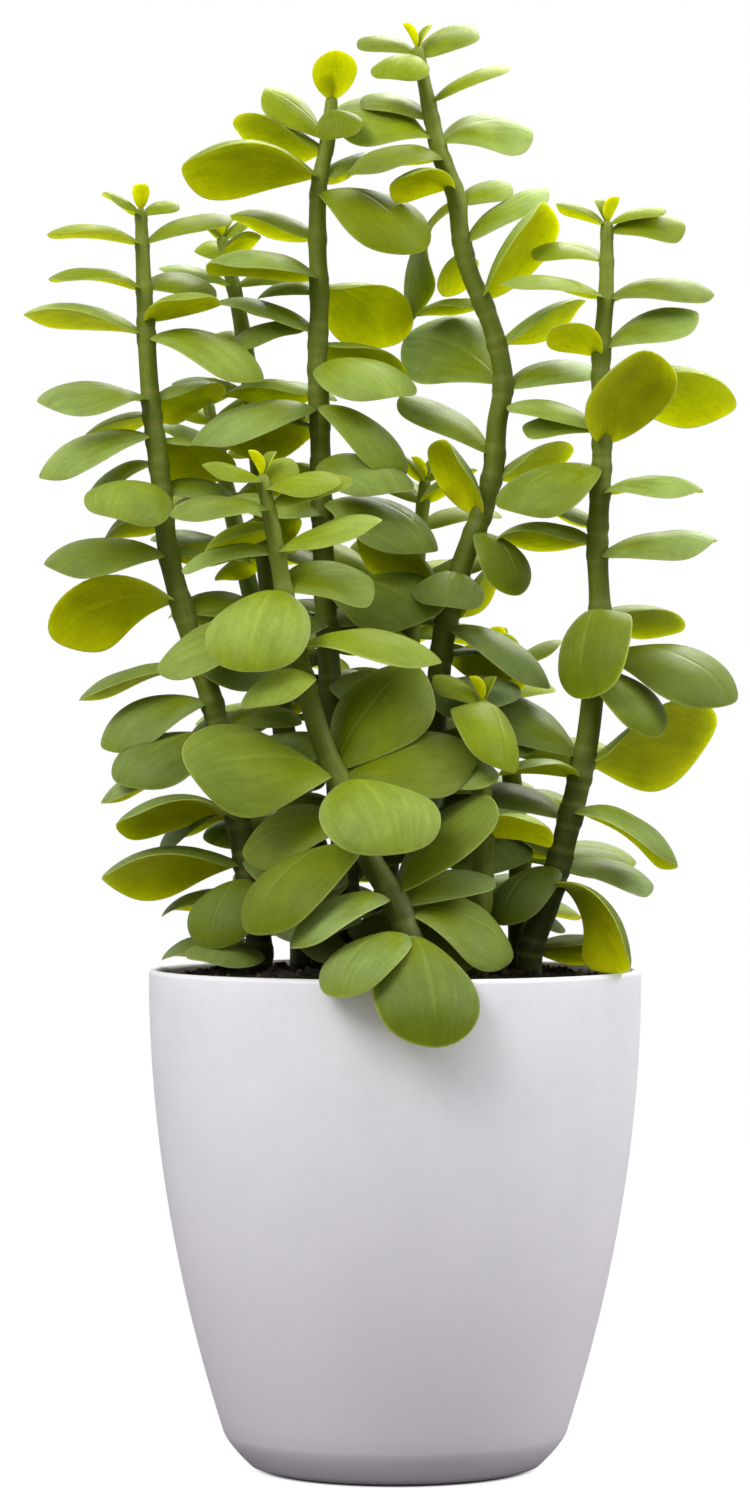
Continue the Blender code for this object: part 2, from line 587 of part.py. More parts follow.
class Growth:
    """What has grown so far, so that each new leaf can keep clear of it."""

    def __init__(self, stems):
        self.tubes = {s.name: tube_tree(whole_route(s), LEAF_CLEARANCE) for s in stems}
        self.leaves = []
        moves = [(turn, lift, shrink) for turn in TURNS for lift in LIFTS for shrink in SHRINKS]
        self.moves = sorted(moves, key=self.cost)

    @staticmethod
    def cost(move):
        turn, lift, shrink = move
        return (turn / TURN_UNIT) ** 2 + (lift / LIFT_UNIT) ** 2 + ((1 - shrink) / SHRINK_UNIT) ** 2

    def fits(self, leaf, own_stem):
        """The room the leaf takes up, or None if the pot, a stem or a leaf is in the way. Leaves of
        one stem may meet at their roots, so their blades alone are kept apart."""
        s = np.linspace(0.1, 1, 8)[:, None]
        v = np.linspace(-1, 1, 5)[None, :]
        skins = [leaf_points(leaf, s, v, side).reshape(-1, 3) for side in (1, -1)]
        if not clears_pot(np.vstack(skins)):
            return None
        whole, faces = leaf_mesh(leaf, LEAF_CLEARANCE)
        blade, blade_faces = leaf_mesh(leaf, 0, LEAF_STATIONS[1:])
        low, high = whole.min(axis=0), whole.max(axis=0)
        room = {
            "stem": own_stem,
            "low": low,
            "high": high,
            "whole": BVHTree.FromPolygons([tuple(p) for p in whole], faces),
            "blade": BVHTree.FromPolygons([tuple(p) for p in blade], blade_faces),
        }
        for name, tube in self.tubes.items():
            if name != own_stem and room["whole"].overlap(tube):
                return None
        for other in self.leaves:
            part = "blade" if other["stem"] == own_stem else "whole"
            apart = (low > other["high"]).any() or (high < other["low"]).any()
            if not apart and room[part].overlap(other[part]):
                return None
        return room

    def place(self, leaf, own_stem):
        """The leaf, moved as little as clears the others, or None where there is no room for it."""
        for turn, lift, shrink in self.moves:
            moved = replace(
                leaf,
                bearing=leaf.bearing + math.radians(turn),
                rise=leaf.rise + math.radians(lift),
                length=leaf.length * shrink,
                width=leaf.width * shrink,
            )
            room = self.fits(moved, own_stem)
            if room:
                self.leaves.append(room)
                return moved
        return None


def leaf_form(stem, entry, draw):
    """The Leaf of one entry of the stem's list, with small seeded differences in its form."""
    height, reach, climb, length, side, roll = entry
    route = whole_route(stem)
    depth = side * math.sqrt(max(0.0, length**2 - reach**2 - climb**2))
    bearing = math.atan2(depth, reach)
    slope = math.degrees(math.atan2(climb, math.hypot(reach, depth)))
    bend = (LEVEL_LEAF_BEND - BEND_LOST_PER_DEGREE * slope) * draw.uniform(0.85, 1.15)
    straightened = math.radians(bend) / 2 / math.sin(math.radians(bend) / 2)
    facing = 1 if reach > 0 else -1
    return Leaf(
        base=tuple(axis_at(route, height * MM)),
        start=ROOT_OFFSET_SHARE * stem_radius(route, height * MM),
        bearing=bearing,
        rise=math.radians(slope + bend / 2),
        bend=math.radians(bend),
        length=length * MM * straightened,
        width=length * MM * LEAF_WIDTH_SHARE * draw.uniform(0.92, 1.06),
        cup=LEAF_CUP * draw.uniform(0.6, 1.4),
        roll=math.radians(roll + draw.uniform(-5, 5)) * facing,
    )


def leaves_of(stem, growth):
    """The stem's leaves, each moved as little as it needs to clear what has grown before."""
    draw = random.Random(stem.name)
    leaves = []
    for entry in stem.leaves:
        leaf = growth.place(leaf_form(stem, entry, draw), stem.name)
        if leaf:
            leaves.append(leaf)
    return leaves


def make_stem_tube(stem, collection):
    """The bare stem: a bevelled curve through its axis, made a mesh with its caps welded on."""
    route = whole_route(stem)
    top = route[-1, 2] + BUD_ABOVE_TOP_PAIR
    steps = max(4, round((top - route[0, 2]) / STEM_STEP))
    heights = np.linspace(route[0, 2], top, steps + 1)
    curve = bpy.data.curves.new(stem.name, "CURVE")
    curve.dimensions = "3D"
    curve.bevel_depth = STEM_RADIUS
    curve.bevel_resolution = STEM_SIDES_PER_CORNER
    curve.use_fill_caps = True
    spline = curve.splines.new("POLY")
    spline.points.add(len(heights) - 1)
    for point, z in zip(spline.points, heights):
        x, y, _ = axis_at(route, z)
        point.co = (x, y, z, 1)
        point.radius = stem_radius(route, min(z, route[-1, 2])) / STEM_RADIUS
    guide = new_object(f"{stem.name}_curve", curve, collection)
    mesh = baked(guide, stem.name)
    bpy.data.objects.remove(guide, do_unlink=True)
    return new_object(stem.name, mesh, collection)


def make_leafy_stem(stem, growth, collection, green):
    """One node: the stem with its leaves, their roots sunk in it, joined by one Boolean union."""
    leaves = leaves_of(stem, growth)
    tube = make_stem_tube(stem, collection)
    repeats = bpy.data.collections.new(f"{stem.name} leaves")
    bpy.context.scene.collection.children.link(repeats)
    for i, leaf in enumerate(leaves):
        points, faces = leaf_mesh(leaf)
        mesh = bpy.data.meshes.new(f"{stem.name}_leaf_{i}")
        mesh.from_pydata([tuple(p) for p in points], [], faces)
        new_object(mesh.name, mesh, repeats)
    union = tube.modifiers.new("Leaves", "BOOLEAN")
    union.operation = "UNION"
    union.operand_type = "COLLECTION"
    union.collection = repeats
    union.solver = "MANIFOLD"
    mesh = baked(tube, stem.name)
    mesh.materials.clear()
    mesh.materials.append(green)
    for obj in [tube, *repeats.objects]:
        bpy.data.objects.remove(obj, do_unlink=True)
    bpy.data.collections.remove(repeats)
    made = new_object(stem.name, mesh, collection)
    made.data.shade_smooth()
    print(f"{stem.name}: {len(leaves)} leaves of {len(stem.leaves)}")
    return made


def main():
    clear_scene()
    plant = bpy.data.collections.new("jade plant in a pot")
    cutters = bpy.data.collections.new("cutters")
    for collection in (plant, cutters):
        bpy.context.scene.collection.children.link(collection)
    make_pot(plant, cutters)
    make_soil(plant, cutters)
    green = material("jade leaf", LEAF_GREEN, 0.5)
    growth = Growth(STEMS)
    for stem in STEMS:
        make_leafy_stem(stem, growth, plant, green)


main()
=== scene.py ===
# %% [markdown]
# # A jade plant in a white pot
# This lesson dresses a jade plant that was first built as plain solids: a tapered pot, its soil
# and eleven leafy stems. The solids give the size and the place of everything, and stay as they
# are for collision. Here each one gets a finer surface that keeps its form: thick smooth leaves
# with a pale margin, stalks with leaf scars, a pot that is round to the eye and loose soil.
# All lengths are metres, +Z is up and the front of the plant looks along -Y.

import math
import random
from dataclasses import dataclass, replace

import bpy
import numpy as np
from mathutils.bvhtree import BVHTree
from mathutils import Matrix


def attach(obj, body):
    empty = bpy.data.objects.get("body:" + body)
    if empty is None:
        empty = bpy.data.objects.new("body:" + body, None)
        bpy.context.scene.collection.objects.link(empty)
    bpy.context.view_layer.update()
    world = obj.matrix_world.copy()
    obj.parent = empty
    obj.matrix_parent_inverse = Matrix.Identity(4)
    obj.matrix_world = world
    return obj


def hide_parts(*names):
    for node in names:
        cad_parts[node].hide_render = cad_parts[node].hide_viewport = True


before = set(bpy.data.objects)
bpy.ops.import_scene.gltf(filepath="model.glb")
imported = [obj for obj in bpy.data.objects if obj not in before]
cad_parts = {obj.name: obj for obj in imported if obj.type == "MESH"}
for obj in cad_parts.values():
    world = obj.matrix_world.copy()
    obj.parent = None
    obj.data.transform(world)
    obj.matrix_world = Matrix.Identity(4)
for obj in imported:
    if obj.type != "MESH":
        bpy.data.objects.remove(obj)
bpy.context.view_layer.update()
MM = 0.001

# %% [markdown]
# ## Camera
# The rim of the pot is seen exactly from its side, so the camera that took the picture was level
# and the two rims of the pot fix its height and distance. A long lens keeps the stems upright.
# The focal length is given for a frame whose long side is the 36 mm sensor.

# %% Camera
PICTURE_HEIGHT = 1500
FOCAL_PIXELS = 4920
CAMERA_PLACE = (-0.0049, -1.2, 0.1748)

camera_data = bpy.data.cameras.new("camera")
camera_data.sensor_width = 36
camera_data.lens = FOCAL_PIXELS * camera_data.sensor_width / PICTURE_HEIGHT
camera = bpy.data.objects.new("camera", camera_data)
camera.location = CAMERA_PLACE
camera.rotation_euler = (math.radians(90), 0, 0)
bpy.context.scene.collection.objects.link(camera)
bpy.context.scene.camera = camera
print("lens:", round(camera_data.lens, 1), "mm")

# %% [markdown]
# ## Node helpers
# Materials are networks of nodes. Small helpers keep them short to write: one adds any node and
# wires its inputs, and the others stand for what is done most, such as a product, a mask that
# rises between two values, or a blend of two colours by such a mask.

# %% Node helpers
def add(tree, kind, settings=None, inputs=None):
    """A new node. Each input is a plain value, or the socket of another node that feeds it."""
    made = tree.nodes.new("ShaderNode" + kind)
    for name, value in (settings or {}).items():
        setattr(made, name, value)
    for name, value in (inputs or {}).items():
        if isinstance(value, bpy.types.NodeSocket):
            tree.links.new(value, made.inputs[name])
        else:
            made.inputs[name].default_value = value
    return made


def maths(tree, operation, *values):
    """The output of a Math node for one, two or three values."""
    return add(tree, "Math", {"operation": operation}, dict(enumerate(values))).outputs[0]


def product(tree, *values):
    """All the values multiplied together."""
    result = values[0]
    for value in values[1:]:
        result = maths(tree, "MULTIPLY", result, value)
    return result


def stretched(tree, value, amount, least):
    """least where the value is 0, and more by amount where it is 1."""
    return maths(tree, "MULTIPLY_ADD", value, amount, least)


def blended(tree, mask, colour_a, colour_b, blend="MIX"):
    """colour_a where the mask is 0 and colour_b, or the two combined, where it is 1."""
    kind = {"data_type": "RGBA", "blend_type": blend}
    return add(tree, "Mix", kind, {0: mask, 6: colour_a, 7: colour_b}).outputs[2]


def darkened(tree, paint, shade):
    """The colour paint times the number shade."""
    grey = add(tree, "CombineColor", None, {0: shade, 1: shade, 2: shade}).outputs[0]
    return blended(tree, 1.0, paint, grey, "MULTIPLY")


def ramp_between(tree, value, low, high):
    """A smooth mask: 0 where value is at low or beyond, 1 where it is at high or beyond."""
    made = add(tree, "MapRange", {"interpolation_type": "SMOOTHSTEP"}, {0: value, 1: low, 2: high})
    return made.outputs[0]


def attribute(tree, name):
    """The number that the mesh keeps at each point under this name."""
    return add(tree, "Attribute", {"attribute_name": name}).outputs["Fac"]


def colour(red, green, blue):
    """A colour as a picture editor gives it, 0 to 255, turned into the renderer's light values."""
    shares = np.array([red, green, blue]) / 255
    linear = np.where(shares <= 0.04045, shares / 12.92, ((shares + 0.055) / 1.055) ** 2.4)
    return (*linear.tolist(), 1.0)


def new_material(name, base, roughness, bump=None, strength=0.3, distance=0.0005, **plain):
    """A material of one Principled shader. base and roughness may be sockets of its own tree, so
    they come from a function that is handed the tree. plain sets the shader's other sockets."""
    made = bpy.data.materials.new(name)
    made.use_nodes = True
    tree = made.node_tree
    shader = tree.nodes["Principled BSDF"]
    for socket, value in plain.items():
        shader.inputs[socket.replace("_", " ")].default_value = value
    tree.links.new(base(tree), shader.inputs["Base Color"])
    tree.links.new(roughness(tree), shader.inputs["Roughness"])
    if bump:
        relief = {"Strength": strength, "Distance": distance, "Height": bump(tree)}
        tree.links.new(add(tree, "Bump", None, relief).outputs[0], shader.inputs["Normal"])
    return made


print("helpers ready; a mid grey is", round(colour(128, 128, 128)[0], 3), "as light")

# %% [markdown]
# ## Studio
# The plant stands on a plain pale floor under soft light. The surrounding light is bright above
# and dim below, as in a white room. One wide lamp at the front left shapes the leaves, and a
# second behind and above shines through them; together with the undersides' painted glow, this
# makes the undersides of jade leaves glow yellow. The floor fades out with distance, so no horizon
# cuts the picture. It shines by itself to the eye, so the contact shadow stays faint, but hands on
# little light, so the pot's lower half, which faces down a little, is darker than its rim, helped
# by painted shade in the pot's colour. Under the pot the floor doesn't shine, so a notch in the
# foot shows the dark.

# %% Surrounding light
SKY_ABOVE = 0.86
SKY_BELOW = 0.14
SKY_TURNS = (-0.6, 0.9)
BACKDROP = 1.0

bpy.context.scene.view_settings.view_transform = "Standard"
world = bpy.data.worlds.new("white room")
bpy.context.scene.world = world
world.use_nodes = True
room = world.node_tree
background = room.nodes["Background"]
direction = add(room, "TexCoord").outputs["Generated"]
upward = add(room, "SeparateXYZ", None, {0: direction}).outputs["Z"]
light_share = ramp_between(room, upward, *SKY_TURNS)
strength = add(room, "MapRange", None, {0: light_share, 3: SKY_BELOW, 4: SKY_ABOVE}).outputs[0]
seen = add(room, "LightPath").outputs["Is Camera Ray"]
shown = add(room, "Mix", None, {0: seen, 2: strength, 3: BACKDROP}).outputs[0]
room.links.new(shown, background.inputs["Strength"])
background.inputs["Color"].default_value = (1, 1, 1, 1)
print("sky from", SKY_BELOW, "below to", SKY_ABOVE, "above")

# %% Lamps
LAMPS = {
    "front left": {"place": (-0.9, -1.1, 1.3), "size": 0.9, "watts": 18},
    "right": {"place": (1.2, -0.2, 0.9), "size": 0.7, "watts": 10},
    "behind and above": {"place": (0.25, 0.9, 1.2), "size": 0.7, "watts": 18},
}
AIM = (0, 0, 0.18)


def add_lamp(name, place, size, watts):
    """A square softbox at place, turned to shine on the middle of the plant."""
    data = bpy.data.lights.new(name, "AREA")
    data.size = size
    data.energy = watts
    lamp = bpy.data.objects.new(name, data)
    lamp.location = place
    away = np.array(place) - AIM
    tip_over = math.acos(away[2] / np.linalg.norm(away))
    lamp.rotation_euler = (tip_over, 0, math.atan2(away[0], -away[1]))
    bpy.context.scene.collection.objects.link(lamp)


for lamp_name, facts in LAMPS.items():
    add_lamp(lamp_name, **facts)
print("lamps:", ", ".join(LAMPS))

# %% [markdown]
# ## Rings and shells
# Every surface of this object can be seen as a stack of rings: the pot and its soil are rings
# about the pot's axis, a stalk is rings along its route, and a leaf is rings about the middle of
# its blade, from the top over the margin to the underside. So one helper joins a stack of rings
# into a closed shell, with a point at each end, and every piece uses it.

# %% Shells from rings
def shell_faces(rows, around):
    """Faces of a closed shell: four-sided between one ring and the next, three-sided at the two
    end points, which come after the rings. The rings run anticlockwise, seen from the last one."""
    row = np.arange(rows - 1)[:, None] * around
    here = np.arange(around)[None, :]
    there = (here + 1) % around
    quads = np.stack([row + here, row + there, row + around + there, row + around + here], axis=-1)
    first, last = rows * around, rows * around + 1
    turn = here[0]
    start = np.stack([np.full(around, first), there[0], turn], axis=-1)
    top = (rows - 1) * around
    end = np.stack([np.full(around, last), top + turn, top + there[0]], axis=-1)
    return quads.reshape(-1, 4), np.vstack([start, end])


def shell_points(rings, first, last):
    """The points of a shell, rings first and then its two end points, as one array."""
    return np.vstack([rings.reshape(-1, 3), np.reshape(first, (1, 3)), np.reshape(last, (1, 3))])


def mesh_object(name, points, quads, triangles, marks=None):
    """An object at the origin whose mesh has these points and faces. marks are numbers kept at
    each point for the materials, by name."""
    mesh = bpy.data.meshes.new(name)
    mesh.from_pydata(points.tolist(), [], quads.tolist() + triangles.tolist())
    for mark, values in (marks or {}).items():
        mesh.attributes.new(mark, "FLOAT", "POINT").data.foreach_set("value", np.ravel(values))
    mesh.shade_smooth()
    mesh.update()
    obj = bpy.data.objects.new(name, mesh)
    bpy.context.scene.collection.objects.link(obj)
    return obj


def turned_shell(name, profile, steps, shape=None):
    """The profile, an array of (radius, height) rows from pole to pole, spun round the Z axis.
    Its first and last rows are the poles. shape may move the spun points."""
    angles = np.linspace(0, 2 * np.pi, steps, endpoint=False)
    radius, height = profile[1:-1, 0][:, None], profile[1:-1, 1][:, None]
    rings = np.stack(
        [radius * np.cos(angles), radius * np.sin(angles), height + 0 * angles], axis=-1
    )
    if shape:
        rings = shape(rings)
    points = shell_points(rings, (0, 0, profile[0, 1]), (0, 0, profile[-1, 1]))
    return mesh_object(name, points, *shell_faces(len(rings), steps))


print("3 rings of 8 points make", sum(map(len, shell_faces(3, 8))), "faces")

# %% Floor
FLOOR_RADIUS = 3.0
FLOOR_THICKNESS = 0.01
FLOOR_MIDDLE_RADIUS = 0.3
FLOOR_TURN_STEPS = 96
FLOOR_FADE = (0.25, 1.1)
FLOOR_GREY = 0.16
FLOOR_ROUGHNESS = 0.8
FLOOR_GLOW = 0.90
FLOOR_GLOW_STRENGTH = 1.1
FLOOR_UNDER_POT = (0.0315, 0.0350)

floor_profile = np.array([
    (0, -FLOOR_THICKNESS), (FLOOR_RADIUS, -FLOOR_THICKNESS), (FLOOR_RADIUS, 0),
    (FLOOR_MIDDLE_RADIUS, 0), (0, 0),
])
floor = turned_shell("floor", floor_profile, FLOOR_TURN_STEPS)

floor_paint = bpy.data.materials.new("pale floor")
floor_paint.use_nodes = True
paint = floor_paint.node_tree
floor_shader = paint.nodes["Principled BSDF"]
floor_shader.inputs["Base Color"].default_value = (FLOOR_GREY, FLOOR_GREY, FLOOR_GREY, 1)
floor_shader.inputs["Roughness"].default_value = FLOOR_ROUGHNESS
glow = add(paint, "Emission", None, {"Strength": FLOOR_GLOW_STRENGTH}).outputs[0]
floor_place = add(paint, "TexCoord").outputs["Object"]
reach = add(paint, "VectorMath", {"operation": "LENGTH"}, {0: floor_place}).outputs["Value"]
fade = ramp_between(paint, reach, *FLOOR_FADE)
by_the_eye = add(paint, "LightPath").outputs["Is Camera Ray"]
to_the_eye = product(paint, by_the_eye, FLOOR_GLOW, ramp_between(paint, reach, *FLOOR_UNDER_POT))
lit = add(paint, "MixShader", None, {0: to_the_eye, 1: floor_shader.outputs[0], 2: glow}).outputs[0]
clear = add(paint, "BsdfTransparent").outputs[0]
faded = add(paint, "MixShader", None, {0: fade, 1: lit, 2: clear}).outputs[0]
paint.links.new(faded, paint.nodes["Material Output"].inputs["Surface"])
floor.data.materials.append(floor_paint)
print("floor radius:", FLOOR_RADIUS, "m, fading from", FLOOR_FADE[0], "m")

# %% [markdown]
# ## Pot
# The pot is moulded in one piece: a thin wall that is widest at the round lip and draws in
# towards a foot ring, as a power curve. It is a turned shape, so its section is drawn once and
# spun. Two small notches in the foot let air in; they are the one place where the height depends
# on the bearing as well.

# %% Pot sizes
POT_HEIGHT = 0.1215
POT_RIM_RADIUS = 0.060
POT_WALL = 0.0024
POT_TAPER = 0.0212
POT_TAPER_POWER = 2.0
POT_CORNER_HEIGHT = 0.009
POT_CORNER_DROP = 0.0046
POT_CORNER_POWER = 1.5
POT_CORNER_END = 0.0012
POT_EDGE_WIDTH = 0.0018
POT_EDGE_HEIGHT = 0.0004
POT_FLOOR = 0.0045
FLOOR_CURVE = 0.008
FLOOR_CURVE_REACH = 0.007
FOOT_RADIUS = 0.031
FOOT_WIDTH = 0.004
FOOT_HEIGHT = 0.0016
FOOT_PAD_RADIUS = 0.009
FOOT_NOTCH_WIDTH = 0.006
FOOT_NOTCH_HEIGHT = 0.0013
FOOT_NOTCH_BEARINGS = (-28, 152)


def outer_radius(z):
    """The pot's outside: widest at the rim, drawn in towards the foot along a power curve, and
    along a second, steeper one round the corner above the foot."""
    wall = POT_RIM_RADIUS - POT_TAPER * (1 - z / POT_HEIGHT) ** POT_TAPER_POWER
    corner = np.maximum(0, 1 - z / POT_CORNER_HEIGHT) ** POT_CORNER_POWER
    return wall - POT_CORNER_DROP * corner


def inner_radius(z):
    """The pot's inside: its outside less the wall."""
    return outer_radius(z) - POT_WALL


def arc(centre, radii, start, end, steps):
    """Points of an elliptical arc in the (radius, height) plane, angles in degrees from +radius."""
    angles = np.radians(np.linspace(start, end, steps))[:, None]
    return np.array(centre) + np.array(radii) * np.hstack([np.cos(angles), np.sin(angles)])


print("pot radius:", [round(float(outer_radius(z)), 4) for z in (0, POT_HEIGHT / 2, POT_HEIGHT)])

# %% Pot surface
POT_TURN_STEPS = 160
POT_WALL_ROWS = 26
POT_CORNER_ROWS = 10
POT_INSIDE_ROWS = 14
FLOOR_ARC = (-90, -8, 8)
LIP_ARC = (165, 15, 9)
FOOT_EDGE = ((1.6, 1.6), (1.0, 0.8), (0.4, 0.2))
FOOT_SOFT = 0.0004
NOTCH_REACH = 1.5
NOTCH_STEEPNESS = 16


def pot_profile():
    """The section from the middle of the floor inside, up the wall, over the lip, down the
    outside, round the corner and along the foot to the middle of the base. FOOT_EDGE rounds the
    foot's outer edge, in shares of its width and height."""
    lip = POT_WALL / 2
    rim_z = POT_HEIGHT - lip
    bend_z = POT_FLOOR + FLOOR_CURVE
    floor_edge = inner_radius(bend_z) - FLOOR_CURVE_REACH
    inside = np.linspace(bend_z, rim_z, POT_INSIDE_ROWS)
    outside = np.hstack([
        np.linspace(rim_z, POT_CORNER_HEIGHT, POT_WALL_ROWS),
        np.linspace(POT_CORNER_HEIGHT, POT_CORNER_END, POT_CORNER_ROWS)[1:],
    ])
    ring_inside = FOOT_RADIUS - FOOT_WIDTH
    edge = [(FOOT_RADIUS + x * POT_EDGE_WIDTH, z * POT_EDGE_HEIGHT) for x, z in FOOT_EDGE]
    ring = [(FOOT_RADIUS, 0), (ring_inside + FOOT_SOFT, 0), (ring_inside, FOOT_SOFT)]
    recess = [(ring_inside, FOOT_HEIGHT), (FOOT_PAD_RADIUS, FOOT_HEIGHT)]
    pad = [(FOOT_PAD_RADIUS, FOOT_SOFT), (FOOT_PAD_RADIUS - FOOT_SOFT, 0), (0, 0)]
    return np.vstack([
        [(0, POT_FLOOR)],
        arc((floor_edge, bend_z), (FLOOR_CURVE_REACH, FLOOR_CURVE), *FLOOR_ARC),
        np.stack([inner_radius(inside), inside], axis=-1),
        arc((POT_RIM_RADIUS - lip, rim_z), (lip, lip), *LIP_ARC),
        np.stack([outer_radius(outside), outside], axis=-1),
        edge + ring + recess + pad,
    ])


def notch_foot(rings):
    """Lifts the underside of the foot inside each notch, by 1 / (1 + (away / half width)^16) of
    its height, which is flat in the middle and has steep soft sides."""
    x, y, z = rings[..., 0], rings[..., 1], rings[..., 2]
    radius = np.hypot(x, y)
    on_ring = (radius > FOOT_RADIUS - NOTCH_REACH * FOOT_WIDTH) & (z < FOOT_NOTCH_HEIGHT)
    share = np.zeros_like(z)
    for bearing in FOOT_NOTCH_BEARINGS:
        away = np.angle(np.exp(1j * (np.arctan2(y, x) - math.radians(bearing)))) * radius
        sides = (np.abs(away) / (FOOT_NOTCH_WIDTH / 2)) ** NOTCH_STEEPNESS
        share = np.maximum(share, 1 / (1 + sides))
    rings[..., 2] = np.where(on_ring, np.maximum(z, FOOT_NOTCH_HEIGHT * share), z)
    return rings


pot = turned_shell("white_pot", pot_profile()[::-1], POT_TURN_STEPS, notch_foot)
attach(pot, "root")
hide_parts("pot")
print("pot faces:", len(pot.data.polygons))

# %% [markdown]
# ## Soil
# The soil fills the pot to just under the lip and rises a little towards the middle. Its surface
# is a low mound with waves in random directions added up, which gives lumps at every size. Loose
# crumbs lie on it: one twenty-sided lump, stretched, turned and scattered many times over. The
# draws are seeded, so the same crumbs lie in the same places on every run.

# %% Soil sizes
SOIL_GAP = 0.0003
SOIL_BELOW_RIM = 0.0030
SOIL_MOUND = 0.0035
SOIL_LUMP = 0.0006
SOIL_EDGE_HEIGHT = POT_HEIGHT - SOIL_BELOW_RIM
SOIL_EDGE = inner_radius(SOIL_EDGE_HEIGHT)
SOIL_WAVE_COUNT = 40
SOIL_WAVE_PITCHES = (250, 2200)
SOIL_WAVE_HEIGHT = 120
SOIL_WAVE_SEED = 7
LUMP_FADE_POWER = 8


def soil_level(radius):
    """Height of the soil without its lumps: a low mound that falls to the wall."""
    return SOIL_EDGE_HEIGHT + SOIL_MOUND * (1 - (radius / SOIL_EDGE) ** 2)


def lumps(x, y, radius):
    """A sum of seeded waves sin(pitch d + shift) / pitch in all directions d, which fades towards
    the wall by 1 - (radius / edge)^8. The shorter a wave, the lower it is."""
    draw = np.random.default_rng(SOIL_WAVE_SEED)
    pitch = draw.uniform(*SOIL_WAVE_PITCHES, SOIL_WAVE_COUNT)
    way = draw.uniform(0, 2 * np.pi, SOIL_WAVE_COUNT)
    shift = draw.uniform(0, 2 * np.pi, SOIL_WAVE_COUNT)
    along = x[..., None] * np.cos(way) + y[..., None] * np.sin(way)
    waves = (np.sin(pitch * along + shift) * SOIL_WAVE_HEIGHT / pitch).sum(axis=-1)
    return SOIL_LUMP * waves * (1 - (radius / SOIL_EDGE) ** LUMP_FADE_POWER)


print("soil height:", round(soil_level(0), 4), "in the middle,", SOIL_EDGE_HEIGHT, "at the wall")

# %% Soil surface
SOIL_TURN_STEPS = 96
SOIL_ROWS = 40
SOIL_SIDE_ROWS = 12
SOIL_EDGE_INSET = 0.0004
SOIL_SHOULDER = 0.0008
SOIL_TOP_REACH = 0.0006


def soil_profile():
    """The section from the middle of the top, out to the wall, down it and back along the floor."""
    top = np.linspace(0, SOIL_EDGE - SOIL_GAP - SOIL_EDGE_INSET, SOIL_ROWS)
    bend_z = POT_FLOOR + FLOOR_CURVE
    side = np.linspace(SOIL_EDGE_HEIGHT - SOIL_SHOULDER, bend_z, SOIL_SIDE_ROWS)
    floor_edge = inner_radius(bend_z) - FLOOR_CURVE_REACH - SOIL_GAP
    return np.vstack([
        np.stack([top, soil_level(top)], axis=-1),
        np.stack([inner_radius(side) - SOIL_GAP, side], axis=-1),
        [(floor_edge, POT_FLOOR + SOIL_GAP), (0, POT_FLOOR + SOIL_GAP)],
    ])


def roughen(rings):
    """Adds the lumps to the points on the top of the soil."""
    x, y, z = rings[..., 0], rings[..., 1], rings[..., 2]
    on_top = z > SOIL_EDGE_HEIGHT - SOIL_TOP_REACH
    rings[..., 2] = np.where(on_top, z + lumps(x, y, np.hypot(x, y)), z)
    return rings


soil = turned_shell("potting_soil", soil_profile()[::-1], SOIL_TURN_STEPS, roughen)
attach(soil, "root")
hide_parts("soil")
print("soil faces:", len(soil.data.polygons))

# %% [markdown]
# ## Plan of the plant
# A jade stem carries its leaves in opposite pairs, each pair a quarter turn from the last. The
# stems in view were measured on the picture, leaf by leaf; those behind follow that rule. A
# stem's route is a list of points from the soil up. A leaf is the height of its root, how far
# its tip reaches to the right, how far the tip climbs, its length, whether the tip comes forward
# or goes back, and how far its top is rolled to the viewer. All of these are millimetres and
# degrees, as they were measured.

# %% How a stem is written down
FRONT = -1
BACK = 1


@dataclass
class Stem:
    name: str
    route: tuple
    leaves: tuple


PAIR_SPACING = 13.5
TOP_PAIRS = ((0.0, 0.36, 42), (5.0, 0.62, 26), (11.5, 0.85, 12))
GROWN_CLIMB = -2
GROWN_ROLL_FRONT = 18
GROWN_ROLL_BACK = 6


def grown_leaves(top, bottom, bearing, length):
    """Leaf pairs by the growth rule, from the height top down to bottom, in millimetres. The
    pairs at the tip are short and climb; the others are evenly spaced and level."""
    pairs = [(top - drop, length * share, climb) for drop, share, climb in TOP_PAIRS]
    height = top - TOP_PAIRS[-1][0] - PAIR_SPACING
    while height > bottom:
        pairs.append((height, length, GROWN_CLIMB))
        height -= PAIR_SPACING
    leaves = []
    for i, (height, size, climb) in enumerate(pairs):
        for half_turn in (0, 180):
            way = math.radians(bearing + 90 * i + half_turn)
            level = size * math.cos(math.radians(climb))
            side = FRONT if math.sin(way) < 0 else BACK
            roll = GROWN_ROLL_FRONT if side == FRONT else GROWN_ROLL_BACK
            reach = level * math.cos(way)
            rise = size * math.sin(math.radians(climb))
            leaves.append((height, reach, rise, size, side, roll))
    return tuple(leaves)


print("from 240 down to 130 mm the rule gives", len(grown_leaves(240, 130, 0, 28)), "leaves")

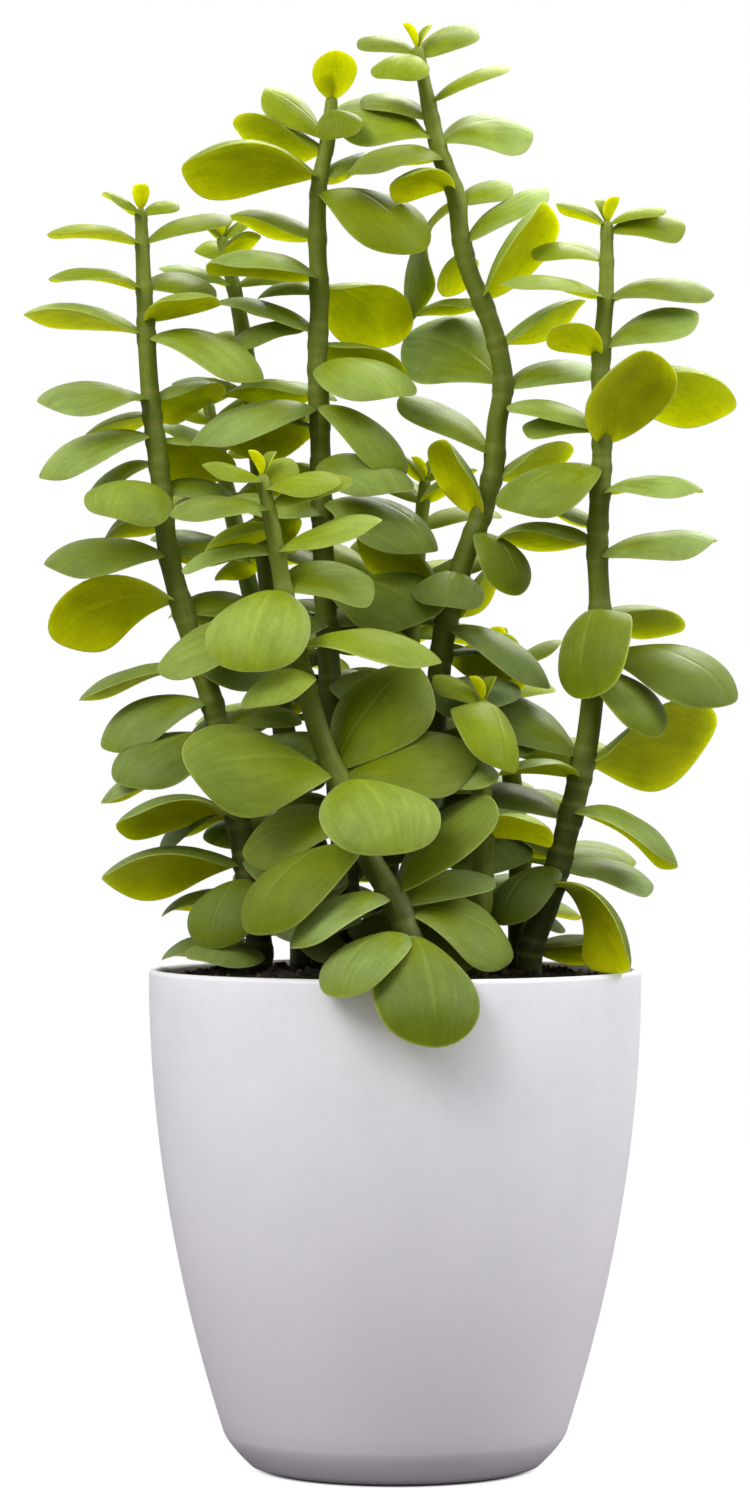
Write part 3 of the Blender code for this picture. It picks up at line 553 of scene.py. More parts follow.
# %% Stems in front, leaf by leaf
FRONT_STEM = Stem(
    "front_stem",
    ((4, -50, 124), (0, -49, 139), (-6, -46, 149), (-12, -43, 165), (-15.5, -40, 172),
     (-21.5, -39, 191), (-26, -38, 210), (-28.5, -38, 224), (-31.5, -38, 239)),
    (
        (238, -13, 3, 15, FRONT, 30), (237, 6, 7, 12, BACK, 20), (236, 17, 3, 18, FRONT, 28),
        (231, -21, -2, 24, FRONT, 15), (232, 18, 8, 22, BACK, 0), (227, -14, -4, 24, BACK, 15),
        (221, 23, 7, 26, FRONT, 18), (221, -22, -3, 25, BACK, 12), (212, 20, 4, 27, BACK, 28),
        (212, -8, -19, 32, FRONT, 10), (202, -32, -8, 34, BACK, 28), (199, 33, -4, 34, FRONT, 10),
        (192, -10, -7, 24, FRONT, -12), (170, 19, 25, 34, BACK, 30),
        (169, -33, 0, 35, FRONT, 60), (168, 31, 10, 33, BACK, 40), (166, 12, -15, 34, FRONT, 20),
        (152, -25, -20, 34, FRONT, 15), (156, -26, -10, 30, BACK, 40), (141, 22, 23, 33, BACK, 15),
        (140, -23, -11, 27, FRONT, 5), (138, 21, 7, 26, BACK, 10), (136, 26, -10, 32, BACK, 50),
        (131, 6, -24, 34, FRONT, 0), (131, -16, -13, 28, FRONT, 0),
    ),
)
RIGHT_STEM = Stem(
    "right_stem",
    ((32.5, -8, 124), (37, -8, 138), (40.5, -8, 151), (44, -8, 165), (46.5, -8, 177), (48, -8, 189),
     (49.5, -8, 202), (49, -8, 226), (50, -8, 243), (50, -8, 272), (51, -8, 284), (51.3, -8, 302)),
    (
        (302, -12, 5, 13, FRONT, 0), (302, 14, 4, 15, BACK, 0), (300, 19, 3, 21, BACK, 30),
        (293, -17, 4, 20, BACK, 20), (284, 26, 2, 27, BACK, 10), (284, -25, 3, 26, FRONT, 5),
        (272, 23, 9, 25, BACK, 20), (270, -12, 6, 16, FRONT, -25), (249, 9, 21, 29, FRONT, 0),
        (265, 31, -8, 33, BACK, -20), (252, -24, 8, 27, BACK, 2), (252, -18, 2, 20, BACK, 20),
        (237, 23, 0, 25, FRONT, 5), (243, -22, -11, 28, FRONT, 25), (229, -12, 5, 22, BACK, -15),
        (222, 27, 3, 29, FRONT, 12), (225, -22, 1, 26, BACK, -12), (209, -5, -22, 29, FRONT, -35),
        (208, 17, -5, 24, BACK, -15), (197, 31, -11, 34, FRONT, 22), (193, 13, -15, 25, FRONT, -10),
        (172, 31, 8, 34, BACK, -60), (173, -23, 17, 30, BACK, 15), (168, -18, 2, 22, FRONT, -12),
        (158, -22, 8, 26, BACK, 5), (160, 24, -13, 30, FRONT, -22), (149, -15, 5, 24, BACK, -30),
        (146, 23, -4, 26, BACK, 12), (146, -14, -10, 24, FRONT, 0), (142, 17, -20, 32, FRONT, -65),
        (127, 20, -3, 27, BACK, -12),
    ),
)
LEFT_STEM = Stem(
    "left_stem",
    ((-33, 0, 124), (-36, -1, 145), (-40, -2, 166), (-45, -3, 188), (-52, -3, 210), (-55, -3, 222),
     (-57, -3, 240), (-59.5, -2, 260), (-61, -1, 284), (-62, 0, 306)),
    (
        (305, -8, 5, 11, FRONT, 25), (305, 8, 4, 11, BACK, 10), (298, -22, 2, 23, FRONT, 4),
        (298, 20, 8, 24, BACK, 10), (287, -22, 2, 23, FRONT, 4), (287, 16, 2, 22, BACK, 25),
        (276, -29, 5, 30, BACK, -10), (279, 16, 5, 22, FRONT, 0), (275, 27, -11, 30, FRONT, 18),
        (260, -25, -2, 27, FRONT, 28), (260, 12, 0, 24, BACK, -35), (256, -13, -6, 24, BACK, 15),
        (251, -27, -10, 29, FRONT, 18), (250, 13, -9, 25, BACK, -20), (244, -15, -4, 26, BACK, 30),
        (237, -10, -7, 27, FRONT, 30), (237, 14, 2, 26, BACK, 10), (232, -12, -5, 26, BACK, 20),
        (222, -28, -3, 30, FRONT, 18), (222, 16, 0, 26, BACK, 0), (211, -29, -10, 31, FRONT, -50),
        (208, 14, 4, 26, BACK, 10), (194, -29, -7, 31, BACK, 5), (194, 18, -4, 26, FRONT, 10),
        (186, -26, -11, 28, FRONT, 30), (178, -23, -8, 28, FRONT, 25), (180, 16, 4, 26, BACK, 5),
        (169, -30, -7, 31, BACK, 5), (168, 16, -2, 26, FRONT, 10), (158, -28, -1, 31, FRONT, -22),
        (160, -23, -4, 27, BACK, 20), (147, -34, -4, 34, FRONT, -25), (148, 20, -7, 28, FRONT, 20),
        (143, -8, -16, 24, FRONT, -5), (138, -20, -3, 27, BACK, 0), (136, 22, -4, 28, FRONT, 25),
        (126, -22, -2, 27, BACK, 5), (125, -15, -4, 24, FRONT, 15),
    ),
)
TALL_LEFT_STEM = Stem(
    "tall_left_stem",
    ((-11, 5, 124), (-14, 5, 166), (-17, 5, 210), (-18.5, 5, 256), (-19, 5, 270), (-18.5, 5, 285),
     (-19, 5, 300), (-18.5, 5, 314), (-16.5, 5, 324), (-15.5, 5, 334)),
    (
        (334, 1, 11, 14, FRONT, 0), (324, -15, 13, 20, BACK, 35), (331, 2, -8, 15, FRONT, 20),
        (322, -20, 8, 24, BACK, -35), (315, -33, 1, 35, FRONT, -30), (315, 12, 6, 20, BACK, -20),
        (311, 22, -16, 30, FRONT, 30),
        (300, -21, 6, 26, BACK, -20), (290, -26, 3, 29, FRONT, 3), (288, 16, -13, 27, BACK, -30),
        (286, -10, -1, 20, BACK, 10), (277, -25, 10, 31, BACK, -8), (274, 17, -11, 25, BACK, -15),
        (268, 19, -8, 30, FRONT, 18), (262, -20, 0, 26, BACK, -10), (259, 19, -18, 29, FRONT, -5),
        (258, -31, -9, 33, FRONT, 8), (254, -24, -2, 28, BACK, -25), (245, 20, -8, 28, FRONT, 15),
        (243, -20, -6, 28, BACK, 5), (232, -22, 2, 28, FRONT, 10), (235, 26, -12, 31, FRONT, 15),
        (214, 24, -8, 30, FRONT, 32), (219, -18, 2, 28, BACK, 0), (205, -20, -4, 28, FRONT, 12),
        (205, 18, 4, 28, BACK, 10), (191, -16, -2, 27, BACK, 10), (191, 20, -6, 28, FRONT, 25),
        (176, -20, -4, 27, FRONT, 10), (176, 18, 2, 27, BACK, 10), (160, -18, 2, 27, BACK, 10),
        (160, 14, -3, 26, FRONT, 10), (144, -20, -2, 27, FRONT, 10), (144, 16, 2, 26, BACK, 10),
        (131, 18, 0, 26, FRONT, 45), (131, -17, 2, 26, BACK, 5), (126, -14, 0, 24, FRONT, 45),
    ),
)
TALLEST_STEM = Stem(
    "tallest_stem",
    ((8, 8, 124), (9, 7, 161), (10.5, 6, 190), (12, 5, 203), (14, 4, 212), (17, 4, 222),
     (21, 4, 232), (24, 4, 243), (25, 4, 255), (26.5, 4, 264), (25, 4, 274), (22, 4, 283),
     (18.5, 4, 291), (16, 4, 301), (15, 4, 310), (11, 4, 321), (8, 4, 334), (5.5, 4, 346)),
    (
        (345, -14, 5, 17, BACK, 15), (344, 12, 10, 19, BACK, 15), (343, -7, -6, 17, FRONT, 15),
        (333, 19, 10, 22, BACK, 5), (329, -16, 7, 20, BACK, 10), (323, 23, 5, 27, BACK, 30),
        (324, -24, 10, 26, FRONT, 40), (319, -22, -5, 27, FRONT, 0), (312, -15, 0, 20, FRONT, -28),
        (308, 12, 7, 17, BACK, 15), (309, -14, -28, 33, BACK, 65), (299, 20, 14, 25, BACK, 10),
        (285, 12, 23, 28, FRONT, -5), (296, -4, -9, 16, BACK, 25), (283, -19, 3, 24, BACK, 0),
        (274, 20, 10, 25, BACK, -25), (264, -26, 13, 33, BACK, 50), (263, 21, 7, 26, BACK, 15),
        (247, -22, 15, 28, BACK, 15), (241, 18, 5, 22, BACK, -35), (232, -8, 18, 22, FRONT, 20),
        (228, 13, -13, 22, FRONT, 5), (212, -24, 16, 30, BACK, -38), (217, -18, -6, 27, FRONT, 10),
        (205, 24, -15, 30, FRONT, 0), (206, 13, 13, 22, BACK, -50), (198, 16, -6, 20, BACK, -20),
        (205, -20, 8, 28, BACK, 20), (191, -18, -6, 27, FRONT, 20), (190, 13, -5, 27, FRONT, 25),
        (178, 20, -5, 28, FRONT, 20), (178, -18, 3, 27, BACK, 10), (164, -17, -4, 28, FRONT, 20),
        (164, 18, 2, 27, BACK, 10), (150, 20, -3, 28, FRONT, 20), (150, -16, 2, 27, BACK, 10),
        (136, 14, 0, 26, BACK, 10), (133, -16, -3, 26, FRONT, 40), (127, 13, 0, 24, FRONT, 45),
    ),
)
LOW_RIGHT_STEM = Stem(
    "low_right_stem",
    ((19, -21, 124), (21, -21, 145), (21, -20, 165), (21, -20, 186)),
    (
        (186, 5, -16, 27, FRONT, -35), (185, -13, 2, 20, BACK, 20), (154, 15, 2, 22, FRONT, -30),
        (154, -15, 2, 24, BACK, 15), (170, -10, -4, 24, FRONT, 10), (138, -14, -4, 24, BACK, 10),
        (128, -12, 0, 24, FRONT, 40),
    ),
)
print("leaves of the tallest stem:", len(TALLEST_STEM.leaves))

# %% Stems behind and between, by the growth rule
MIDDLE_STEM = Stem(
    "middle_stem",
    ((-3, 25, 124), (0, 24, 165), (4, 22, 205), (7.5, 21, 241)),
    grown_leaves(241, 128, 40, 28),
)
LEFT_BACK_STEM = Stem(
    "left_back_stem",
    ((-23, 25, 124), (-27, 26, 173), (-31, 27, 211), (-36, 28, 266), (-39, 28, 285),
     (-43, 28, 302)),
    grown_leaves(302, 150, 24, 22),
)
BACK_LEFT_STEM = Stem(
    "back_left_stem",
    ((-14, 41, 124), (-24, 44, 165), (-36, 45, 213), (-47, 42, 262)),
    grown_leaves(262, 128, 50, 26),
)
BACK_MIDDLE_STEM = Stem(
    "back_middle_stem",
    ((12, 40, 124), (8, 43, 160), (1, 45, 200), (-4, 44, 228)),
    grown_leaves(228, 128, 10, 27),
)
BACK_RIGHT_STEM = Stem(
    "back_right_stem",
    ((31, 22, 124), (31, 25, 150), (28, 28, 178), (26, 29, 199)),
    grown_leaves(199, 128, 70, 28),
)

# In the order of growth: a stem's leaves keep clear of the stems named before it
STEMS = (
    FRONT_STEM, RIGHT_STEM, LEFT_STEM, TALL_LEFT_STEM, TALLEST_STEM, LOW_RIGHT_STEM,
    MIDDLE_STEM, LEFT_BACK_STEM, BACK_LEFT_STEM, BACK_RIGHT_STEM, BACK_MIDDLE_STEM,
)
print("stems:", len(STEMS), "leaves planned:", sum(len(stem.leaves) for stem in STEMS))

# %% [markdown]
# ## How a leaf takes its form
# A leaf's midrib is an arc: it leaves the stalk rising and turns down by its bend. The blade
# arches down to both margins, as a saddle does, and rolls about the midrib. The stalk's route is
# made smooth by cubics. A few differences in bend, width and arch are drawn from a seed that is
# the stem's own name, in the same order as in the solid model, so each fine leaf lies where its
# plain one does.

# %% Stalk sizes
STEM_DEPTH_IN_SOIL = 0.014
STEM_STRAIGHT_ABOVE_SOIL = 0.0015
STEM_RADIUS = 0.0031
STEM_TIP_RADIUS = 0.0013
STEM_TAPER_POWER = 0.6
STEM_TAPER_LENGTH = 0.030
STEM_TOP_SHARE = 0.62
STEM_STEP = 0.020
BUD_ABOVE_TOP_PAIR = 0.0015


def whole_route(stem):
    """The stem's route in metres, with its straight foot in the soil added below."""
    route = np.array(stem.route, float) * MM
    x, y, _ = route[0]
    surface = soil_level(math.hypot(x, y)) + STEM_STRAIGHT_ABOVE_SOIL
    foot = [(x, y, POT_HEIGHT - STEM_DEPTH_IN_SOIL), (x, y, surface)]
    return np.vstack([foot, route])


def axis_at(route, z):
    """Points of the stem's axis at the heights z: cubics through the route's points, with the
    slope at each point the mean of the runs beside it."""
    heights, across = route[:, 2], route[:, :2]
    slopes = np.gradient(across, heights, axis=0)
    slopes[:2] = 0  # the foot in the soil is upright
    z = np.clip(np.atleast_1d(z), heights[0], heights[-1])
    i = np.clip(np.searchsorted(heights, z) - 1, 0, len(heights) - 2)
    gap = (heights[i + 1] - heights[i])[:, None]
    t = (z[:, None] - heights[i][:, None]) / gap
    place = (
        (1 + 2 * t) * (1 - t) ** 2 * across[i]
        + t * (1 - t) ** 2 * gap * slopes[i]
        + t**2 * (3 - 2 * t) * across[i + 1]
        + t**2 * (t - 1) * gap * slopes[i + 1]
    )
    return np.column_stack([place, z])


def stem_radius(route, z):
    """Thick at the soil, a little thinner towards the top, and drawn in over the last stretch."""
    foot, top = route[0, 2], route[-1, 2]
    along = STEM_RADIUS * (1 - (1 - STEM_TOP_SHARE) * (z - foot) / (top - foot))
    near_top = np.clip((top - z) / STEM_TAPER_LENGTH, 0, 1)
    return STEM_TIP_RADIUS + (along - STEM_TIP_RADIUS) * near_top**STEM_TAPER_POWER


print("a stalk is", STEM_RADIUS, "m in radius at the soil and", STEM_TIP_RADIUS, "m at its tip")

# %% Leaf form
LEAF_WIDTH_SHARE = 0.80
LEAF_THICKNESS_SHARE = 0.05
LEAF_LEAST_THICKNESS = 0.0009
PETIOLE_HALF_WIDTH_SHARE = 0.045
LEAF_BASE_POWER = 0.66
LEAF_TIP_POWER = 0.43
LEVEL_LEAF_BEND = 62
BEND_LOST_PER_DEGREE = 0.6
LEAF_CUP = 0.33
ROOT_OFFSET_SHARE = 0.3
BEND_SPREAD = (0.85, 1.15)
WIDTH_SPREAD = (0.92, 1.06)
CUP_SPREAD = (0.6, 1.4)
ROLL_SPREAD = (-5, 5)


@dataclass
class Leaf:
    base: tuple
    start: float
    bearing: float
    rise: float
    bend: float
    length: float
    width: float
    cup: float
    roll: float


def leaf_form(stem, entry, draw):
    """The leaf of one entry of the stem's list, with small seeded differences in its form. A leaf
    that climbs bends less. Its arc is made longer, so its tip comes out where it was measured."""
    height, reach, climb, length, side, roll = entry
    route = whole_route(stem)
    depth = side * math.sqrt(max(0.0, length**2 - reach**2 - climb**2))
    slope = math.degrees(math.atan2(climb, math.hypot(reach, depth)))
    bend = (LEVEL_LEAF_BEND - BEND_LOST_PER_DEGREE * slope) * draw.uniform(*BEND_SPREAD)
    straightened = math.radians(bend) / 2 / math.sin(math.radians(bend) / 2)
    facing = 1 if reach > 0 else -1
    return Leaf(
        base=tuple(axis_at(route, height * MM)[0]),
        start=ROOT_OFFSET_SHARE * stem_radius(route, height * MM),
        bearing=math.atan2(depth, reach),
        rise=math.radians(slope + bend / 2),
        bend=math.radians(bend),
        length=length * MM * straightened,
        width=length * MM * LEAF_WIDTH_SHARE * draw.uniform(*WIDTH_SPREAD),
        cup=LEAF_CUP * draw.uniform(*CUP_SPREAD),
        roll=math.radians(roll + draw.uniform(*ROLL_SPREAD)) * facing,
    )


def leaf_half_width(leaf, s):
    """Half the leaf's width at the share s of its length: a wedge at the base and a round tip."""
    peak = LEAF_BASE_POWER / (LEAF_BASE_POWER + LEAF_TIP_POWER)
    top = peak**LEAF_BASE_POWER * (1 - peak) ** LEAF_TIP_POWER
    blade = s**LEAF_BASE_POWER * (1 - s) ** LEAF_TIP_POWER / top * leaf.width / 2
    petiole = PETIOLE_HALF_WIDTH_SHARE * leaf.length * (1 - s)
    return np.sqrt(blade**2 + petiole**2)


def leaf_thickness(leaf):
    """A share of the leaf's length, and never thinner than the least."""
    return max(LEAF_THICKNESS_SHARE * leaf.length, LEAF_LEAST_THICKNESS)


def bent_into_place(leaf, s, across, lift):
    """Carries points of a flat leaf into place. s is the share of the way along the midrib,
    across and lift are metres from it. The midrib is an arc, so a point at the angle a on it lies
    (sin(rise) - sin(a)) out and (cos(a) - cos(rise)) up, times the length over the bend. The roll
    grows along the blade by 1 - (1 - s)^3."""
    angle = leaf.rise - leaf.bend * s
    out = leaf.length * (math.sin(leaf.rise) - np.sin(angle)) / leaf.bend
    up = leaf.length * (np.cos(angle) - math.cos(leaf.rise)) / leaf.bend
    turn = leaf.roll * (1 - (1 - s) ** 3)
    aside = across * np.cos(turn) - lift * np.sin(turn)
    normal = across * np.sin(turn) + lift * np.cos(turn)
    forward = leaf.start + out - normal * np.sin(angle)
    cos_b, sin_b = math.cos(leaf.bearing), math.sin(leaf.bearing)
    return np.stack(
        [
            leaf.base[0] + forward * cos_b - aside * sin_b,
            leaf.base[1] + forward * sin_b + aside * cos_b,
            leaf.base[2] + up + normal * np.cos(angle),
        ],
        axis=-1,
    )


print("a leaf of the plan is", LEAF_WIDTH_SHARE, "as wide as it is long")

# %% [markdown]
# ## Growth
# Leaves of a real plant push each other aside. Here the stems grow one after another, and each
# new leaf is tried in place against everything that has grown before. If it touches, it is
# turned, lifted or shortened by the least that clears it. Plain four-sided leaves and six-sided
# stalks are enough to test, and a search tree of their faces makes each test quick.

# %% Plain leaves and stalks to test with
LEAF_STATIONS = (0.0, 0.18, 0.50, 0.84)
LEAF_CLEARANCE = 0.0006
POT_CLEARANCE = 0.0010
GUARD_SIDES = 6
SKIN_START = 0.1
SKIN_POINTS_ALONG = 8
SKIN_POINTS_ACROSS = 5


def plain_points(leaf, s, v, side, swell=0.0):
    """Points of the plain leaf at v from -1 to 1 across it, on its top (side 1) or below (-1)."""
    s, v = np.broadcast_arrays(np.asarray(s, float), np.asarray(v, float))
    half = leaf_half_width(leaf, s) + swell
    thickness = leaf_thickness(leaf) * np.sqrt(1 - s**4)
    lift = -leaf.cup * half * v**2 + side * (thickness / 2 + swell) * (1 - v**2)
    return bent_into_place(leaf, s, v * half, lift)


def plain_leaf(leaf, swell=0.0, stations=LEAF_STATIONS):
    """A search tree and the points of a leaf lofted through four-point sections."""
    s = np.repeat(stations, 4)
    v, side = np.tile([-1, 0, 1, 0], len(stations)), np.tile([1, 1, 1, -1], len(stations))
    tip = plain_points(leaf, 1, 0, 1, swell)[None, :]
    points = np.vstack([plain_points(leaf, s, v, side, swell), tip])
    faces = [(0, 1, 3), (1, 2, 3)]
    last = 4 * (len(stations) - 1)
    for ridge in (1, 3):
        for a in range(0, last, 4):
            b = a + 4
            faces += [(a, b, a + ridge), (b, b + ridge, a + ridge)]
            faces += [(a + ridge, b + ridge, b + 2), (a + ridge, b + 2, a + 2)]
        faces += [(last, len(s), last + ridge), (last + ridge, len(s), last + 2)]
    return BVHTree.FromPolygons(points.tolist(), faces), points


def plain_stalk(stem):
    """A search tree of a six-sided tube round the stem, thicker than it by the clearance."""
    route = whole_route(stem)
    heights = np.arange(route[0, 2], route[-1, 2], STEM_STEP / 2)
    radius = (stem_radius(route, heights) + LEAF_CLEARANCE)[:, None]
    angles = 2 * np.pi * np.arange(GUARD_SIDES) / GUARD_SIDES
    circle = np.stack([np.cos(angles), np.sin(angles), 0 * angles], axis=-1)
    rings = axis_at(route, heights)[:, None, :] + radius[..., None] * circle
    quads, _ = shell_faces(len(heights), GUARD_SIDES)
    return BVHTree.FromPolygons(rings.reshape(-1, 3).tolist(), quads.tolist())


def clears_pot(points):
    """True if the points stay above the soil, and outside the pot's wall or over its lip."""
    radius, z = np.hypot(points[:, 0], points[:, 1]), points[:, 2]
    inside = radius < POT_RIM_RADIUS - POT_WALL
    over_soil = z > soil_level(radius) + SOIL_LUMP + POT_CLEARANCE
    beside = radius > outer_radius(np.clip(z, 0, POT_HEIGHT)) + POT_CLEARANCE
    over_lip = z > POT_HEIGHT + POT_CLEARANCE
    return bool(np.where(inside, over_soil | over_lip, beside | over_lip).all())


print("a plain leaf has", 4 * len(LEAF_STATIONS) + 1, "points")

# %% Growth
# Each leaf may be turned and lifted by these degrees and shortened to these shares. The moves
# are tried from the least to the most, each weighed against its unit.
TURNS = (0, 8, -8, 16, -16, 25, -25, 35, -35)
LIFTS = (0, 8, -8, 16, -16, 26)
SHRINKS = (1.0, 0.9, 0.8, 0.7, 0.6)
TURN_UNIT = 10
LIFT_UNIT = 9
SHRINK_UNIT = 0.09


def move_cost(move):
    """The squares of the turn, the lift and the shortening added up, each over its unit."""
    turn, lift, shrink = move
    return (turn / TURN_UNIT) ** 2 + (lift / LIFT_UNIT) ** 2 + ((1 - shrink) / SHRINK_UNIT) ** 2


class Growth:
    """What has grown so far, so that each new leaf can keep clear of it."""

    def __init__(self, stems):
        self.stalks = {stem.name: plain_stalk(stem) for stem in stems}
        self.leaves = []
        moves = [(turn, lift, shrink) for turn in TURNS for lift in LIFTS for shrink in SHRINKS]
        self.moves = sorted(moves, key=move_cost)

    def room_for(self, leaf, own_stem):
        """The room the leaf takes up, or None if the pot, a stem or a leaf is in the way. Leaves
        of one stem may meet at their roots, so their blades alone are kept apart."""
        s = np.linspace(SKIN_START, 1, SKIN_POINTS_ALONG)[:, None]
        v = np.linspace(-1, 1, SKIN_POINTS_ACROSS)[None, :]
        skins = [plain_points(leaf, s, v, side).reshape(-1, 3) for side in (1, -1)]
        if not clears_pot(np.vstack(skins)):
            return None
        whole, points = plain_leaf(leaf, LEAF_CLEARANCE)
        blade, _ = plain_leaf(leaf, 0, LEAF_STATIONS[1:])
        low, high = points.min(axis=0), points.max(axis=0)
        room = {"stem": own_stem, "low": low, "high": high, "whole": whole, "blade": blade}
        if any(name != own_stem and whole.overlap(stalk) for name, stalk in self.stalks.items()):
            return None
        for other in self.leaves:
            part = "blade" if other["stem"] == own_stem else "whole"
            apart = (low > other["high"]).any() or (high < other["low"]).any()
            if not apart and room[part].overlap(other[part]):
                return None
        return room

    def place(self, leaf, own_stem):
        """The leaf, moved as little as clears the others, or None where there is no room for it."""
        for turn, lift, shrink in self.moves:
            moved = replace(
                leaf,
                bearing=leaf.bearing + math.radians(turn),
                rise=leaf.rise + math.radians(lift),
                length=leaf.length * shrink,
                width=leaf.width * shrink,
            )
            room = self.room_for(moved, own_stem)
            if room:
                self.leaves.append(room)
                return moved
        return None


def grow(stems):
    """The placed leaves of each stem, by its name."""
    growth = Growth(stems)
    grown = {}
    for stem in stems:
        draw = random.Random(stem.name)
        placed = [growth.place(leaf_form(stem, entry, draw), stem.name) for entry in stem.leaves]
        grown[stem.name] = [leaf for leaf in placed if leaf]
    return grown


GROWN = grow(STEMS)
print("leaves:", {name: len(leaves) for name, leaves in GROWN.items()})

# %% [markdown]
# ## Fleshy leaves
# A jade leaf is a water store: a thick blade with a round margin, not a sheet. It is made as a
# flattened ball. Rings run from the middle of its top over the margin to the middle of its
# underside, and each ring has the leaf's outline, scaled down. The flat form is then bent into
# place. Seventy-two faces do for each leaf, because Subdivision Surface rounds them off. It also
# pulls the form in a little, so the cage is first pushed out until its surface comes through the
# wanted points.

# %% Rings of a leaf
LEAF_RINGS = 5
LEAF_SPOKES = 12
LEAF_CENTRE = 0.52
EDGE_WAVE, EDGE_WAVES = 0.018, 2
BLADE_WAVE, BLADE_WAVES = 0.012, 3
LATEST_PHASE = 6
TIP_POINT, TIP_POWER = 0.012, 12


def seeded_wave(draw, height, waves, spoke):
    """height sin(waves spoke + phase), with the height and the phase drawn for this leaf."""
    return height * draw.uniform(-1, 1) * np.sin(waves * spoke + draw.uniform(0, LATEST_PHASE))


def leaf_rings(leaf, draw):
    """Rings of a ball flattened into the leaf. A ring at q of the way over the ball is the
    outline scaled by sin(pi q), raised by cos(pi q) of half the thickness. Seeded waves run round
    the margin and over the blade, and some tips end in a blunt point."""
    q = np.linspace(0, 1, LEAF_RINGS + 2)[:, None]
    spoke = np.linspace(0, 2 * np.pi, LEAF_SPOKES, endpoint=False)[None, :]
    reach, rise = np.sin(np.pi * q), np.cos(np.pi * q)
    edge_s = (1 - np.cos(spoke)) / 2
    wave = 1 + seeded_wave(draw, EDGE_WAVE, EDGE_WAVES, spoke)
    edge_across = np.sign(np.round(np.sin(spoke), 6)) * leaf_half_width(leaf, edge_s) * wave
    s = LEAF_CENTRE + reach * (edge_s - LEAF_CENTRE)
    s = s + TIP_POINT * draw.uniform(0, 1) * reach * np.clip(-np.cos(spoke), 0, 1) ** TIP_POWER
    across = reach * edge_across
    half = leaf_half_width(leaf, np.clip(s, 0, 1))
    v = np.clip(across / np.maximum(half, 1e-6), -1, 1)
    lift = -leaf.cup * half * v**2 + rise * leaf_thickness(leaf) / 2
    lift = lift + seeded_wave(draw, BLADE_WAVE * leaf.length, BLADE_WAVES, spoke) * reach
    marks = {
        "along": np.clip(s, 0, 1),
        "across": v,
        "rim": reach + 0 * spoke,
        "under": (1 - rise) / 2 + 0 * spoke,
        # level: how far the blade faces up; the leaf material paints sky sheen on tops that face up
        "level": np.clip(np.cos(leaf.rise - leaf.bend * s) * math.cos(leaf.roll), 0, 1),
    }
    return bent_into_place(leaf, s, across, lift), marks


def smoothed(rings):
    """Where subdivision takes each point of the cage: a sixth, four sixths and a sixth of three
    neighbours, along the rings and then from ring to ring. The end rings are single points."""
    round_ring = (np.roll(rings, 1, axis=1) + 4 * rings + np.roll(rings, -1, axis=1)) / 6
    over = round_ring.copy()
    over[1:-1] = (round_ring[:-2] + 4 * round_ring[1:-1] + round_ring[2:]) / 6
    return over


def cage_through(rings, rounds=6):
    """The cage whose subdivided surface passes through the rings: each round adds what the
    surface still misses."""
    cage = rings.copy()
    for _ in range(rounds):
        cage[1:-1] += (rings - smoothed(cage))[1:-1]
    return cage


print("faces of a leaf:", sum(map(len, shell_faces(LEAF_RINGS, LEAF_SPOKES))))

# %% Leaves of a stem
LEAF_LEVELS = 2
AGE_LENGTH = 0.150
BUD_RISE = 80
BUD_BEND = 42
BUD_LEAF = {"start": 0.0004, "length": 0.0068, "width": 0.0042, "cup": -0.3, "roll": 0.0}


def bud_pair(stem):
    """The two small leaves that stand up, hand to hand, at the tip of the stem."""
    route = whole_route(stem)
    turn = random.Random(stem.name + " bud").uniform(0, math.pi)
    top = tuple(axis_at(route, route[-1, 2])[0] + (0, 0, BUD_ABOVE_TOP_PAIR / 2))
    return [
        Leaf(
            base=top,
            bearing=turn + half_turn,
            rise=math.radians(BUD_RISE),
            bend=math.radians(BUD_BEND),
            **BUD_LEAF,
        )
        for half_turn in (0, math.pi)
    ]


def leaves_object(stem, leaves):
    """One mesh with all leaves of the stem. Each point keeps where it is on its leaf, how old the
    leaf is (0 at the tip of the stem, 1 far below it) and a tint of the leaf's own."""
    draw = np.random.default_rng(sum(map(ord, stem.name)))
    top = stem.route[-1][2] * MM
    quads, triangles = shell_faces(LEAF_RINGS, LEAF_SPOKES)
    size = LEAF_RINGS * LEAF_SPOKES + 2
    points, all_quads, all_triangles, lists = [], [], [], {}
    for number, leaf in enumerate(leaves):
        rings, leaf_marks = leaf_rings(leaf, draw)
        cage = cage_through(rings)
        points.append(shell_points(cage[1:-1], cage[0, 0], cage[-1, 0]))
        all_quads.append(quads + number * size)
        all_triangles.append(triangles + number * size)
        age = np.clip((top - leaf.base[2]) / AGE_LENGTH, 0, 1)
        leaf_marks["age"] = np.full(rings.shape[:2], age)
        leaf_marks["tint"] = np.full(rings.shape[:2], draw.uniform())
        for mark, values in leaf_marks.items():
            in_order = np.hstack([values[1:-1].ravel(), values[0, 0], values[-1, 0]])
            lists.setdefault(mark, []).append(in_order)
    marks = {mark: np.hstack(values) for mark, values in lists.items()}
    name = stem.name.replace("_stem", "_leaves")
    faces = np.vstack(all_quads), np.vstack(all_triangles)
    obj = mesh_object(name, np.vstack(points), *faces, marks)
    finish = obj.modifiers.new("round off", "SUBSURF")
    finish.levels = finish.render_levels = LEAF_LEVELS
    return obj


print("buds of the front stem turned to", [round(bud.bearing, 2) for bud in bud_pair(FRONT_STEM)])

# %% [markdown]
# ## Stalks
# A jade stalk is green and smooth, a little swollen where each pair of leaves clasps it, with a
# fine scar ring there. Between the pairs it is faintly four-sided. It is a profile carried along
# the stem's route: rings square to the path, whose radius depends on the height and the bearing.

